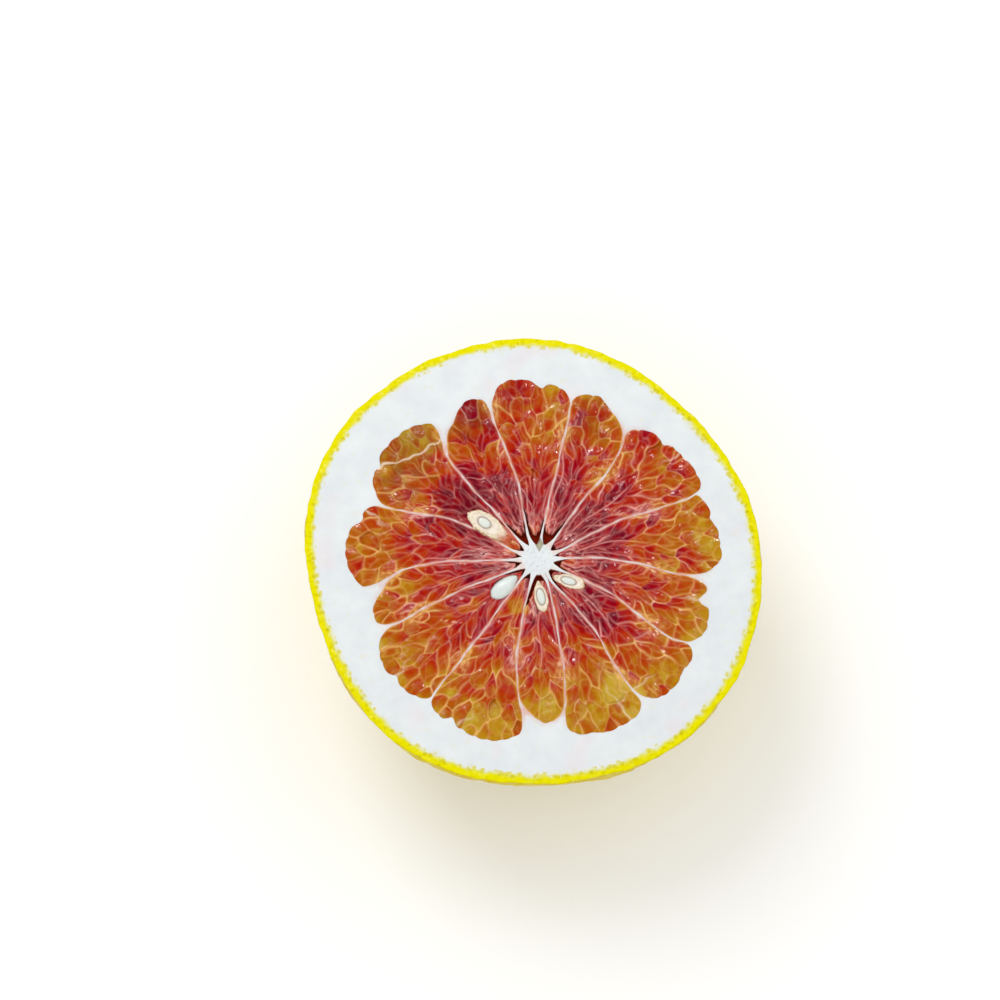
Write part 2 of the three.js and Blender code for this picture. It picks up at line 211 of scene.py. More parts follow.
# Colour of the pulp, from golden at 0 to dark crimson at 1. First by distance from the core, then how
# much redder each chamber is than that, and then some patches: middle, radius and how much redder.
RED_RADII = (8, 18, 30, 42, 54, 62)
REDNESS = (0.8, 0.82, 0.66, 0.42, 0.25, 0.18)
RED_MOST = ((18, 34, 46), (1.0, 0.97, 0.8))  # the most, by distance from the core
REDDER = (0.02, 0.09, 0.0, 0.02, 0.1, 0.04, 0.05, 0.02, -0.03, -0.06, -0.06, -0.06, 0.0, -0.02)
PATCHES = (
    (-26, 22, 9, 0.36),
    (-20, 13, 5, 0.3),
    (-36, 6, 6, 0.14),
    (20, 7, 9, 0.22),
    (18, -18, 9, 0.22),
    (11, 13, 6, 0.2),
    (-13, 22, 7, 0.16),
    (-9.5, 5.5, 5, -0.24),
    (-7, 57, 5, 0.22),
    (-22, 50, 6, 0.22),
    (37, 42, 5, 0.3),
    (47, 30, 5, 0.15),
    (26, -43, 8, -0.22),
    (28, -48, 7.5, -0.42),
    (-28, -52, 8, -0.28),
    (-9, -52, 6, -0.2),
    (57, 7, 7, -0.22),
    (3, -50, 7, -0.22),
    (-38, 41, 8, -0.14),
    (-52, 8, 6, -0.1),
    (52, -27, 6, -0.16),
    (-6.3, -15.5, 3.4, -0.4),
    (18, 50, 5, 0.22),
    (16, -54, 6, -0.14),
    (15, 42, 8, 0.12),
    (36, 20, 6, 0.12),
    (-26, -13, 7, -0.14),
    (20, 24, 6, -0.14),
    (-7, -20, 5, -0.14),
    (-17, -47, 5, -0.12),
)
# Patches of darker pulp: middle, radius and how strong.
SHADES = (
    (-44, 38, 11, 0.34),
    (-46, 24, 6, 0.2),
    (-22, 49, 7, 0.42),
    (-8, 56, 6, 0.2),
    (18, 50, 6, 0.2),
    (-25, 18, 9, 0.36),
    (15, 42, 7, 0.12),
)
# How milky the inner ends of each chamber's sacs are.
MILKY = (0.85, 0.35, 0.9, 0.8, 0.9, 0.1, 0.6, 0.9, 0.25, 0.15, 0.5, 0.4, 0.35, 0.7)
# Pale skins: place, direction, half length, half width and strength.
VEILS = (
    (-2.3, -15.4, 104, 4.4, 1.5, 0.85),
    (-11.0, 2.0, -26, 3.0, 0.8, 0.9),
    (10.5, -3.2, -9, 4.0, 0.8, 0.85),
    (-2.4, 9.5, 102, 2.4, 0.8, 0.7),
    (3.4, 10.4, 74, 2.6, 0.9, 0.8),
    (26.5, 15.6, 163, 3.2, 0.9, 0.55),
    (-19.4, 1.8, 175, 4.0, 1.5, 0.55),
    (-28.5, -20.8, -9, 3.6, 0.45, 0.75),
    (-18.8, -15.0, 8, 3.8, 0.45, 0.7),
    (-13.0, -20.8, -32, 1.4, 0.5, 0.75),
    (10.6, -15.2, 35, 1.3, 0.4, 0.8),
    (24.5, -8.0, 2, 4.2, 0.45, 0.6),
    (18.0, -0.9, 88, 1.4, 0.5, 0.6),
    (13.5, 21.0, 62, 4.4, 0.5, 0.55),
    (-13.2, 23.5, 118, 4.0, 0.5, 0.55),
    (-33.5, 19.5, -8, 2.4, 0.5, 0.6),
    (15.8, -13.8, 40, 3.4, 0.4, 0.65),
    (35.5, -46.0, 62, 6.0, 2.6, 0.45),
    (32.0, -50.0, 75, 4.0, 2.0, 0.35),
)

# Pale ribs between groups of sacs: two ends, and how strong the rib is at each.
RIBS = (
    (-53, 31.5, -43.5, 33.5, 0.95, 0.9),
    (-43.5, 33.5, -37.5, 36.5, 0.9, 0.85),
    (-37.5, 36.5, -32, 40.5, 0.85, 0.9),
    (57, -13.5, 44, -13, 0.9, 0.1),
    (30.5, -43.5, 38, -38, 0.85, 0.1),
    (49, 36, 40, 32, 0.75, 0.1),
    (-58, 17, -49, 10.5, 0.85, 0.1),
    (-30, -57.5, -20.5, -51, 0.85, 0.1),
    (31, -55, 20, -40, 0.75, 0.1),
    (-47.5, -41, -42, -33, 0.85, 0.1),
)
RIB_HALF = 0.34  # half-width of a rib

CAVITY = (0.5, 5.1, 1.5, 2.8, 1.6)  # hollow in the core: place, half width, half length, depth
CORE_DISC = 4.6  # radius of the spongy white middle of the core

# ---- Curves ----

WAVE_COUNT = 14  # waves that are added up for a random relief


def smooth(low, high, value):
    """Rises smoothly from 0 at low to 1 at high."""
    share = np.clip((value - low) / (high - low), 0, 1)
    return share * share * (3 - 2 * share)


def waves(points, size, seed):
    """Smooth random relief over points, about -1 to 1, with bumps about half of size across."""
    rng = np.random.default_rng(seed)
    points = np.asarray(points)
    total = np.zeros(len(points))
    for _ in range(WAVE_COUNT):
        direction = rng.normal(size=points.shape[1])
        direction /= np.linalg.norm(direction)
        length = size * rng.uniform(0.7, 1.4)
        total += np.cos(points @ direction * (TURN / length) + rng.uniform(0, TURN))
    return total / math.sqrt(WAVE_COUNT)


def polar(radius, angle):
    """Places at a distance from the core, in a direction."""
    return np.stack([radius * np.cos(angle), radius * np.sin(angle)], axis=-1)


def turned(points, degrees):
    """Points turned about the origin."""
    cosine, sine = math.cos(math.radians(degrees)), math.sin(math.radians(degrees))
    return points @ np.array([[cosine, sine], [-sine, cosine]])


def raised(places, height):
    """Places in the plane, lifted to one height or to one each."""
    return np.column_stack([places, np.broadcast_to(height, len(places))])


# ---- Outline and chambers ----


def outline_share(angle):
    """The rim's radius in a direction, as a share of RIM_RADIUS."""
    share = np.ones_like(angle)
    for count, height, crest in RIM_WAVES:
        share += height / RIM_RADIUS * np.cos(count * (angle - math.radians(crest)))
    return share


def septum_angle(number, radius):
    """Angle of a wall at a distance from the core: a smooth curve through its four angles."""
    r = np.clip(radius, *SEPTUM_BEND)
    degrees = np.full(np.shape(r), 360.0 * (number // CHAMBERS))
    for i, angle in enumerate(SEPTA[number % CHAMBERS]):
        weight = 1.0
        for j, other in enumerate(SEPTUM_RADII):
            if j != i:
                weight = weight * (r - other) / (SEPTUM_RADII[i] - other)
        degrees = degrees + angle * weight
    return np.radians(degrees)


def septum_half(number, radius):
    """Half the thickness of a wall between two chambers, at a distance from the core."""
    number = number % CHAMBERS
    root = SEPTUM_ROOT[0] * np.exp(-(radius - CORE_EDGE) / SEPTUM_ROOT[1])
    wander = 0.06 * np.sin(0.45 * radius + 2.3 * number) + 0.03 * np.sin(1.1 * radius + number)
    knot = KNOT_HALF * np.exp(-(((radius - KNOTS[number]) / KNOT_LENGTH) ** 2))
    return SEPTUM_HALF + root + wander + knot


def septum_wander(number, radius):
    """Small turns of a wall, in radians."""
    number = number % CHAMBERS
    turn = 0.16 * np.sin(0.4 * radius + 1.7 * number) + 0.05 * np.sin(1.2 * radius + 2.9 * number)
    return turn * smooth(9, 20, radius) / radius


def chamber_reach(chamber, u, cusps=()):
    """How far a chamber reaches from the core; u is 0 at its first wall and 1 at its second. cusps
    are the places where two sacs meet at the pith."""
    walls, reach, corners = LOBES[chamber]
    radius = np.float64(LOBE_RADIUS)
    across = float(septum_angle(chamber + 1, radius) - septum_angle(chamber, radius)) * LOBE_RADIUS
    end = reach[0] + (reach[1] - reach[0]) * u
    dip, depth = DIPS[chamber]
    end = end - depth * np.exp(-(((u - dip) * across / DIP_HALF) ** 2))
    for cusp in cusps:
        end = end - SCALLOP[0] * np.exp(-np.abs((u - cusp) * across / SCALLOP[1]) ** 1.5)
    for share, wall, corner in ((u, walls[0], corners[0]), (1 - u, walls[1], corners[1])):
        past = np.clip(1 - share * across / corner, 0, 1)
        end = end + (wall - end) * (1 - np.sqrt(1 - past**2))
    return end


def chamber_xy(chamber, u, v, steep=0.0, cusps=()):
    """Places in a chamber; v is 0 at the core and 1 at the pith, and steep is how far its outer wall
    has turned in, in radians."""
    u = np.asarray(u, float)
    taper = CORE_TAPER + (1 - CORE_TAPER) * math.cos(steep)
    start = CORE_EDGE * taper
    r = start + (chamber_reach(chamber, u, cusps) * math.cos(steep) - start) * v
    first = septum_angle(chamber, r) + septum_wander(chamber, r)
    second = septum_angle(chamber + 1, r) + septum_wander(chamber + 1, r)
    most = SEPTUM_SHARE * (second - first)
    low = first + np.minimum(septum_half(chamber, r) / r, most)
    high = second - np.minimum(septum_half(chamber + 1, r) / r, most)
    angle = low + (high - low) * u
    return polar(r, angle)


def across_chamber(chamber, xy):
    """Distance from the core, angle, and place across the chamber: -1 and 1 are its walls."""
    r = np.hypot(*xy.T)
    angle = np.arctan2(xy[:, 1], xy[:, 0])
    first, second = septum_angle(chamber, r), septum_angle(chamber + 1, r)
    away = (angle - (first + second) / 2 + math.pi) % TURN - math.pi
    return r, angle, 2 * away / (second - first)


def chamber_path():
    """The outline of a chamber as (u, v), anticlockwise: out along its first wall, across its outer
    end, back along its second wall, and across its inner end."""
    along = np.linspace(0, 1, OUTLINE_STEPS[0], endpoint=False)
    across = 0.5 - 0.5 * np.cos(np.linspace(0, math.pi, OUTLINE_STEPS[1], endpoint=False))
    inner = np.linspace(1, 0, 5, endpoint=False)
    u = np.concatenate([np.zeros_like(along), across, np.ones_like(along), inner])
    v = np.concatenate([along, np.ones_like(across), 1 - along, np.zeros_like(inner)])
    return u, v


def inside(points, polygon):
    """Whether each point lies in a polygon."""
    x, y = points[:, 0], points[:, 1]
    found = np.zeros(len(points), bool)
    last = polygon[-1]
    for corner in polygon:
        crosses = (corner[1] > y) != (last[1] > y)
        run = (last[0] - corner[0]) * (y - corner[1]) / (last[1] - corner[1] + 1e-12) + corner[0]
        found ^= crosses & (x < run)
        last = corner
    return found


# ---- Pattern of the sacs ----


CUSP_RANGE = (0.04, 0.96)  # where across a chamber the cusps are looked for, in CUSP_STEPS places
CUSP_STEPS = 240
CUSP_DEPTH = 0.975  # how far out, as a share of the way from the core to the pith


class SacPattern:
    """A pattern of long sacs over one chamber. Each sac has a middle, an axis and a size, and takes
    the places that are nearer to it than to any other, as counted in its own length and width."""

    def __init__(self, chamber, seed, scale=1.0):
        self.chamber = chamber
        self.scale = scale
        self.rng = np.random.default_rng(seed)
        self.middles = self.scatter()
        self.axis, self.size = self.frame_at(self.middles)
        count = len(self.middles)
        self.size *= self.rng.uniform(*SAC_SCALES, (count, 1))
        self.tone = self.rng.uniform(0, 1, count)
        self.strength = self.symmetric(*WALL_STRENGTHS)
        self.width = self.symmetric(*WALL_WIDTHS)

    def symmetric(self, low, high):
        """A random value for each pair of sacs."""
        table = self.rng.uniform(low, high, (len(self.middles), len(self.middles)))
        return np.triu(table) + np.triu(table, 1).T

    def frame_at(self, xy):
        """The sacs' axis and (width, length) at some places."""
        r, angle, side = across_chamber(self.chamber, xy)
        angle = angle + np.interp(r, SAC_RADII, SAC_LEAN) * np.clip(side, -1, 1)
        size = [np.interp(r, SAC_RADII, sizes) * self.scale / 2 for sizes in (SAC_WIDTHS, SAC_LENGTHS)]
        return polar(1, angle), np.stack(size, axis=1)

    def scatter(self):
        """Middles that keep their distance, filling the chamber."""
        loop = chamber_xy(self.chamber, *chamber_path())
        tries = self.rng.uniform(loop.min(axis=0) - 1, loop.max(axis=0) + 1, (SAC_TRIES, 2))
        tries = tries[inside(tries, loop)]
        axes, sizes = self.frame_at(tries)
        kept = np.empty((0, 2))
        for place, axis, size in zip(tries, axes, sizes):
            away = kept - place
            along = away @ axis
            across = away @ (-axis[1], axis[0])
            if not np.any((across / size[0]) ** 2 + (along / size[1]) ** 2 < (2 * SAC_SPACING) ** 2):
                kept = np.vstack([kept, place])
        return kept

    def look_up(self, xy):
        """For each place: its sac, the two next nearest ones, the distances to the walls between them,
        and where the place lies along its own sac."""
        size, length = SAC_WARP
        seed = 300 + self.chamber
        stray = np.stack([waves(xy, length, seed), waves(xy, length, seed + 20)], axis=1)
        away = (xy + size * stray)[:, None, :] - self.middles[None]
        side = np.stack([-self.axis[:, 1], self.axis[:, 0]], axis=1)
        along, across = (away * self.axis).sum(axis=2), (away * side).sum(axis=2)
        far = np.sqrt((across / self.size[:, 0]) ** 2 + (along / self.size[:, 1]) ** 2)
        rows = np.arange(len(xy))
        nearest = np.argsort(far, axis=1)[:, :3].T
        slopes = []
        for which in nearest:
            steepest_across = across[rows, which] / self.size[which, 0] ** 2
            steepest_along = along[rows, which] / self.size[which, 1] ** 2
            slope = steepest_across[:, None] * side[which] + steepest_along[:, None] * self.axis[which]
            slopes.append(slope / (far[rows, which][:, None] + 1e-6))
        gaps = []
        for i in (1, 2):
            rise = np.linalg.norm(slopes[i] - slopes[0], axis=1) + 1e-6
            gaps.append((far[rows, nearest[i]] - far[rows, nearest[0]]) / rise)
        return nearest, gaps, along[rows, nearest[0]] / self.size[nearest[0], 1]

    def walls(self, nearest, gaps):
        """How much of a wall each place shows, with rounded corners where three sacs meet."""
        total = np.zeros(len(gaps[0]))
        for other, gap in zip(nearest[1:], gaps):
            strength, width = self.strength[nearest[0], other], self.width[nearest[0], other]
            total += strength * np.exp(-((np.maximum(gap, 0) / width) ** 1.6))
        return np.minimum(total, 1)

    def cusps(self):
        """Where along the outer end two sacs meet."""
        u = np.linspace(*CUSP_RANGE, CUSP_STEPS)
        own = self.look_up(chamber_xy(self.chamber, u, np.full_like(u, CUSP_DEPTH)))[0][0]
        return u[1:][own[1:] != own[:-1]]


PATTERNS = [SacPattern(chamber, 100 + chamber) for chamber in range(CHAMBERS)]
VEINS = [SacPattern(chamber, 500 + chamber, VEIN_SCALE) for chamber in range(CHAMBERS)]


# ---- Meshes ----


def tree_of(points):
    """Search tree over some places in the plane."""
    tree = KDTree(len(points))
    for i, (x, y) in enumerate(points):
        tree.insert((x, y, 0), i)
    tree.balance()
    return tree


def gap_to(tree, points):
    """Distance from each point to the nearest one of a tree."""
    return np.array([tree.find((x, y, 0))[2] for x, y in points])


def spaced(points, others, clearance):
    """The points that keep a distance from some others."""
    return points[gap_to(tree_of(others), points) > clearance]


ROW_SPACING = 0.87  # distance of the rows in a staggered grid, in steps
JITTER = 0.12
WELD = 1e-4  # points nearer to each other than this become one
SHARP_ANGLE = 62  # edges bent more than this look sharp


def hex_grid(low, high, step, seed):
    """A grid of staggered points with a little jitter."""
    rows = np.arange(low[1], high[1], step * ROW_SPACING)
    cols = np.arange(low[0], high[0], step)
    x, y = np.meshgrid(cols, rows)
    x = x + (np.arange(len(rows)) % 2)[:, None] * step / 2
    grid = np.stack([x.ravel(), y.ravel()], axis=1)
    return grid + np.random.default_rng(seed).uniform(-JITTER, JITTER, grid.shape) * step


def beside(loop, distances):
    """Points beside a closed loop that runs anticlockwise; positive distances lie outside it."""
    run = np.roll(loop, -1, axis=0) - np.roll(loop, 1, axis=0)
    run /= np.linalg.norm(run, axis=1, keepdims=True) + 1e-12
    out = np.stack([run[:, 1], -run[:, 0]], axis=1)
    return np.concatenate([loop + out * distance for distance in distances])


def triangulate(loops, extra, keep):
    """Triangles over closed loops and extra points, where keep(middles) says so. Also returns, for
    each loop, the indices of its points."""
    points = np.concatenate([*loops, extra])
    edges = []
    first = 0
    for loop in loops:
        count = len(loop)
        edges += [(first + i, first + (i + 1) % count) for i in range(count)]
        first += count
    result = delaunay_2d_cdt([Vector(p) for p in points], edges, [], 0, WELD)
    verts = np.array([tuple(v) for v in result[0]])
    faces = np.array(result[2])
    faces = faces[keep(verts[faces].mean(axis=1))]
    a, b, c = (verts[faces[:, i]] for i in range(3))
    area = (b[:, 0] - a[:, 0]) * (c[:, 1] - a[:, 1]) - (b[:, 1] - a[:, 1]) * (c[:, 0] - a[:, 0])
    faces[area < 0] = faces[area < 0][:, ::-1]
    where = {source: index for index, sources in enumerate(result[3]) for source in sources}
    starts = np.cumsum([0, *map(len, loops)])
    order = []
    for first, loop in zip(starts, loops):
        order.append(np.array([where[first + i] for i in range(len(loop))]))
    return verts, faces, order


def place_object(name, data):
    """Adds an object to the scene."""
    obj = bpy.data.objects.new(name, data)
    bpy.context.scene.collection.objects.link(obj)
    return obj


class Skin:
    """Collects the points and triangles of a closed mesh."""

    def __init__(self, verts, faces):
        self.parts = [verts]
        self.faces = [faces]
        self.count = len(verts)

    def add(self, points):
        """Adds points and returns their indices."""
        self.parts.append(points)
        self.count += len(points)
        return np.arange(self.count - len(points), self.count)

    def wall(self, upper, lower):
        """Faces from one ring of points to another; they face out where the rings run anticlockwise
        with the upper one above."""
        next_upper, next_lower = np.roll(upper, -1), np.roll(lower, -1)
        self.faces.append(np.stack([upper, lower, next_lower], axis=1))
        self.faces.append(np.stack([upper, next_lower, next_upper], axis=1))

    def rows(self, ring, rows, inward=False):
        """Joins a ring to rows of points, one after the other, and returns the last ring. The faces
        look out, unless the rows run inward over the top or line a hollow."""
        for points in rows:
            lower = self.add(points)
            pair = (lower, ring) if inward else (ring, lower)
            self.wall(*pair)
            ring = lower
        return ring

    def close(self, ring, middle, up=False):
        """Closes a ring with a fan of faces that look down, or up."""
        tip = np.full(len(ring), self.add(np.reshape(middle, (1, 3)))[0])
        after = np.roll(ring, -1)
        self.faces.append(np.stack([ring, after, tip] if up else [ring, tip, after], axis=1))

    def piece(self, name, material, replaced, attributes):
        """Makes the mesh, in metres, as a smooth piece of the fruit. Attributes that stop short are
        filled up with their last value."""
        mesh = bpy.data.meshes.new(name)
        verts = np.concatenate(self.parts) * MM
        mesh.from_pydata(verts.tolist(), [], np.concatenate(self.faces).tolist())
        mesh.update()
        for key, values in attributes.items():
            full = np.full(len(verts), values[-1], np.float32)
            full[: len(values)] = values
            mesh.attributes.new(key, "FLOAT", "POINT").data.foreach_set("value", full)
        mesh.shade_smooth()
        mesh.set_sharp_from_angle(angle=math.radians(SHARP_ANGLE))
        mesh.materials.append(material)
        obj = place_object(name, mesh)
        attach(obj, "root")
        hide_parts(replaced)


# ---- Materials ----


def tint(red, green, blue):
    """A colour given as it looks on a screen, 0 to 255."""
    shares = (red / 255, green / 255, blue / 255)
    return (*(((c + 0.055) / 1.055) ** 2.4 if c > 0.04 else c / 12.92 for c in shares), 1.0)


class Shader:
    """A material with short calls for the nodes used here."""

    def __init__(self, name):
        self.material = bpy.data.materials.new(name)
        self.material.use_nodes = True
        self.tree = self.material.node_tree
        self.surface = self.tree.nodes["Principled BSDF"]

    def node(self, kind, inputs, **settings):
        made = self.tree.nodes.new(kind)
        for key, value in settings.items():
            setattr(made, key, value)
        for key, value in inputs.items():
            self.put(made.inputs[key], value)
        return made

    def put(self, socket, value):
        if isinstance(value, bpy.types.NodeSocket):
            self.tree.links.new(value, socket)
        else:
            socket.default_value = value

    def set(self, **values):
        for key, value in values.items():
            self.put(self.surface.inputs[key.replace("_", " ")], value)

    def attribute(self, name):
        return self.node("ShaderNodeAttribute", {}, attribute_name=name).outputs["Fac"]

    def place(self):
        return self.node("ShaderNodeTexCoord", {}).outputs["Object"]

    def noise(self, size, detail, vector=None):
        """Noise with features about size millimetres across."""
        scale = 1 / size if vector else 1 / (size * MM)
        inputs = {"Vector": vector or self.place(), "Scale": scale, "Detail": detail}
        return self.node("ShaderNodeTexNoise", inputs).outputs["Fac"]

    def cells(self, size):
        """Distance to the nearest of scattered points about size millimetres apart."""
        inputs = {"Vector": self.place(), "Scale": 1 / (size * MM)}
        return self.node("ShaderNodeTexVoronoi", inputs, feature="F1").outputs["Distance"]

    def math(self, operation, a, b=0.0, c=0.0):
        made = self.node("ShaderNodeMath", {}, operation=operation)
        for socket, value in zip(made.inputs, (a, b, c)):
            self.put(socket, value)
        return made.outputs[0]

    def rise(self, value, low, high, first=0.0, last=1.0):
        """first up to low, last from high on, and a smooth rise between."""
        inputs = {"Value": value, "From Min": low, "From Max": high, "To Min": first, "To Max": last}
        return self.node("ShaderNodeMapRange", inputs, interpolation_type="SMOOTHSTEP").outputs[0]

    def times(self, a, b):
        return self.math("MULTIPLY", a, b)

    def mix(self, factor, a, b):
        """Colour b over colour a; a Mix node's colours are its sockets 6 and 7."""
        made = self.node("ShaderNodeMix", {}, data_type="RGBA")
        self.put(made.inputs[0], factor)
        self.put(made.inputs[6], a)
        self.put(made.inputs[7], b)
        return made.outputs[2]

    def ramp(self, factor, stops):
        made = self.node("ShaderNodeValToRGB", {"Fac": factor})
        elements = made.color_ramp.elements
        while len(elements) < len(stops):
            elements.new(0.5)
        for element, (position, colour) in zip(elements, stops):
            element.position = position
            element.color = colour
        return made.outputs["Color"]

    def bump(self, height, distance, strength=1.0, normal=None):
        inputs = {"Height": height, "Distance": distance * MM, "Strength": strength}
        if normal:
            inputs["Normal"] = normal
        return self.node("ShaderNodeBump", inputs).outputs[0]

    def translucent(self, weight, depth, radii):
        """Light goes in and spreads under the surface, to a depth in millimetres."""
        self.set(Subsurface_Weight=weight, Subsurface_Scale=depth * MM, Subsurface_Radius=radii)


YELLOW = tint(227, 219, 0)
SKIN_YELLOW = tint(224, 204, 0)
DEEP_YELLOW = tint(218, 190, 0)
GLAND_YELLOW = tint(212, 200, 0)
PALE_YELLOW = tint(222, 219, 112)
PITH_WHITE = tint(220, 224, 225)


def rind_colour(shader, white):
    """Colour of the cut rind by depth below the skin: yellow, with round oil glands that hang into
    the white."""
    depth = shader.attribute("depth")
    ragged = shader.math("MULTIPLY_ADD", shader.noise(3.2, 2), 2.6, depth)
    fade = shader.rise(ragged, 3.3, 5.0, 1, 0)
    solid = shader.rise(ragged, 2.8, 4.3, 1, 0)
    dot = shader.rise(shader.cells(1.9), 0.3, 0.5, 1, 0)
    picked = shader.rise(shader.noise(4.0, 1), 0.33, 0.42)
    reach = shader.rise(depth, 3.2, 4.2, 1, 0)
    start = shader.rise(depth, 1.0, 2.0)
    for part in (picked, reach, start):
        dot = shader.times(dot, part)
    colour = shader.mix(fade, white, PALE_YELLOW)
    colour = shader.mix(solid, colour, YELLOW)
    return shader.mix(shader.times(dot, 0.8), colour, GLAND_YELLOW)


def peel_material():
    shader = Shader("peel")
    skin = shader.mix(shader.rise(shader.noise(36, 3), 0.35, 0.65), DEEP_YELLOW, SKIN_YELLOW)
    # Painted shade: the valleys between the pebbles are darkened to a deeper orange.
    valley_shade = shader.times(shader.attribute("valley_shade"), 0.48)
    skin = shader.mix(valley_shade, skin, tint(204, 164, 0))
    mottle = shader.rise(shader.noise(1.5, 3), 0.5, 0.7, 0, 0.35)
    skin = shader.mix(mottle, skin, tint(232, 214, 24))
    pore = shader.rise(shader.cells(1.9), 0.06, 0.32, 1, 0)
    picked = shader.rise(shader.noise(2.6, 2), 0.45, 0.6, 0, 0.42)
    skin = shader.mix(shader.times(pore, picked), skin, tint(176, 132, 0))
    cut = shader.rise(shader.attribute("cut"), 0.3, 0.7)
    colour = shader.mix(cut, skin, rind_colour(shader, PITH_WHITE))
    pebbles = shader.rise(shader.cells(2.2), 0.1, 0.9, 1, 0)
    normal = shader.bump(pebbles, 0.5, 0.8)
    normal = shader.bump(shader.noise(0.9, 2), 0.12, 0.5, normal)
    normal = shader.bump(pore, -0.2, 1.0, normal)
    gloss = shader.rise(shader.noise(2.4, 2), 0.5, 0.68, 0.04, 0.5)
    gloss = shader.times(gloss, shader.rise(cut, 0, 1, 1, 0.3))
    shader.set(Base_Color=colour, Roughness=0.3, Normal=normal, Specular_IOR_Level=gloss)
    shader.translucent(0.1, 1.2, (1.0, 0.8, 0.2))
    return shader.material


def pith_material():
    shader = Shader("pith")
    white = shader.mix(shader.noise(7, 4), tint(208, 214, 217), tint(230, 233, 233))
    flecks = shader.rise(shader.noise(2.4, 3), 0.6, 0.72)
    white = shader.mix(shader.times(flecks, 0.2), white, tint(222, 216, 150))
    rose = shader.rise(shader.noise(16, 2), 0.55, 0.75, 0, 0.4)
    white = shader.mix(rose, white, tint(226, 210, 214))
    colour = rind_colour(shader, white)
    stain = shader.rise(shader.noise(3.5, 2), 0.35, 0.65, 0.35, 1.0)
    stain = shader.times(shader.attribute("thin"), stain)
    colour = shader.mix(stain, colour, tint(216, 160, 146))
    blush = shader.rise(shader.noise(5, 2), 0.4, 0.65, 0, 0.6)
    blush = shader.times(shader.attribute("root"), blush)
    colour = shader.mix(blush, colour, tint(226, 196, 184))
    sponge = shader.rise(shader.noise(0.9, 4), 0.3, 0.45, 1, 0)
    grey = shader.times(shader.attribute("sponge"), sponge)
    colour = shader.mix(shader.times(grey, 0.5), colour, tint(176, 182, 184))
    colour = shader.mix(shader.attribute("cavity"), colour, tint(186, 182, 156))
    # Painted shade: the walls down each chamber's hollow turn dark red with depth below the cut.
    colour = shader.mix(shader.attribute("hollow"), colour, tint(176, 52, 28))
    normal = shader.bump(shader.noise(0.9, 4), 0.1, 0.5)
    shader.set(Base_Color=colour, Roughness=0.6, Normal=normal, Specular_IOR_Level=0.15)
    shader.translucent(0.2, 1.0, (1.0, 0.8, 0.7))
    return shader.material


GOLDEN = -0.22  # redness of the palest pulp
PULP_STOPS = (
    (GOLDEN, tint(186, 152, 42)),
    (-0.1, tint(181, 134, 24)),
    (0.02, tint(179, 126, 18)),
    (0.16, tint(173, 97, 12)),
    (0.36, tint(172, 68, 6)),
    (0.54, tint(174, 42, 6)),
    (0.7, tint(160, 12, 8)),
    (0.86, tint(146, 0, 24)),
    (1.0, tint(114, 0, 26)),
)


def pulp_material():
    shader = Shader("pulp")
    red, wall, milk = (shader.attribute(name) for name in ("red", "wall", "milk"))
    inputs = {"X": shader.attribute("lateral"), "Y": shader.attribute("along")}
    grain = shader.node("ShaderNodeCombineXYZ", inputs).outputs[0]
    cloud = shader.math("SUBTRACT", shader.noise(3.0, 2), 0.5)
    shift = shader.math("MULTIPLY_ADD", cloud, 0.6, red)
    shift = shader.math("MULTIPLY_ADD", shift, 1 / (1 - GOLDEN), -GOLDEN / (1 - GOLDEN))
    stops = [((place - GOLDEN) / (1 - GOLDEN), colour) for place, colour in PULP_STOPS]
    colour = shader.ramp(shift, stops)
    thread = shader.rise(shader.noise(0.8, 3, grain), 0.46, 0.6, 0.04, 1)
    veil = shader.times(milk, thread)
    reddish = shader.rise(red, 0.35, 0.8)
    colour = shader.mix(veil, colour, shader.mix(reddish, tint(226, 176, 100), tint(230, 180, 166)))
    colour = shader.mix(wall, colour, shader.mix(reddish, tint(224, 174, 100), tint(226, 150, 144)))
    dark = shader.mix(reddish, tint(104, 52, 26), tint(92, 12, 22))
    colour = shader.mix(shader.attribute("shade"), colour, dark)
    colour = shader.mix(shader.attribute("rib"), colour, tint(228, 208, 182))
    # Painted shade: the hollows and slits near the core are painted dark red-brown, and take fewer
    # highlights.
    slit_shade = shader.rise(shader.attribute("deep"), 0.25, 0.8)
    colour = shader.mix(slit_shade, colour, tint(122, 30, 10))
    wet = shader.rise(shader.noise(5, 3), 0.52, 0.62, 0.03, 0.4)
    wet = shader.times(wet, shader.rise(slit_shade, 0, 1, 1, 0))
    normal = shader.bump(shader.noise(1.4, 2), 0.14, 0.8)
    shader.set(Base_Color=colour, Roughness=0.12, Normal=normal, IOR=1.36, Specular_IOR_Level=wet)
    shader.translucent(0.2, 1.0, (1.0, 0.3, 0.15))
    return shader.material


# Colours from the middle of a cut seed to its edge: kernel, brown skin, gap and coat.
KERNEL_SHARE = 0.45
SEED_STOPS = (
    (0.0, tint(214, 220, 214)),
    (0.35, tint(212, 216, 206)),
    (0.42, tint(158, 140, 120)),
    (0.48, tint(204, 186, 168)),
    (0.56, tint(228, 218, 202)),
    (0.72, tint(227, 211, 186)),
    (0.86, tint(232, 220, 196)),
    (0.93, tint(214, 184, 144)),
    (1.0, tint(180, 130, 92)),
)


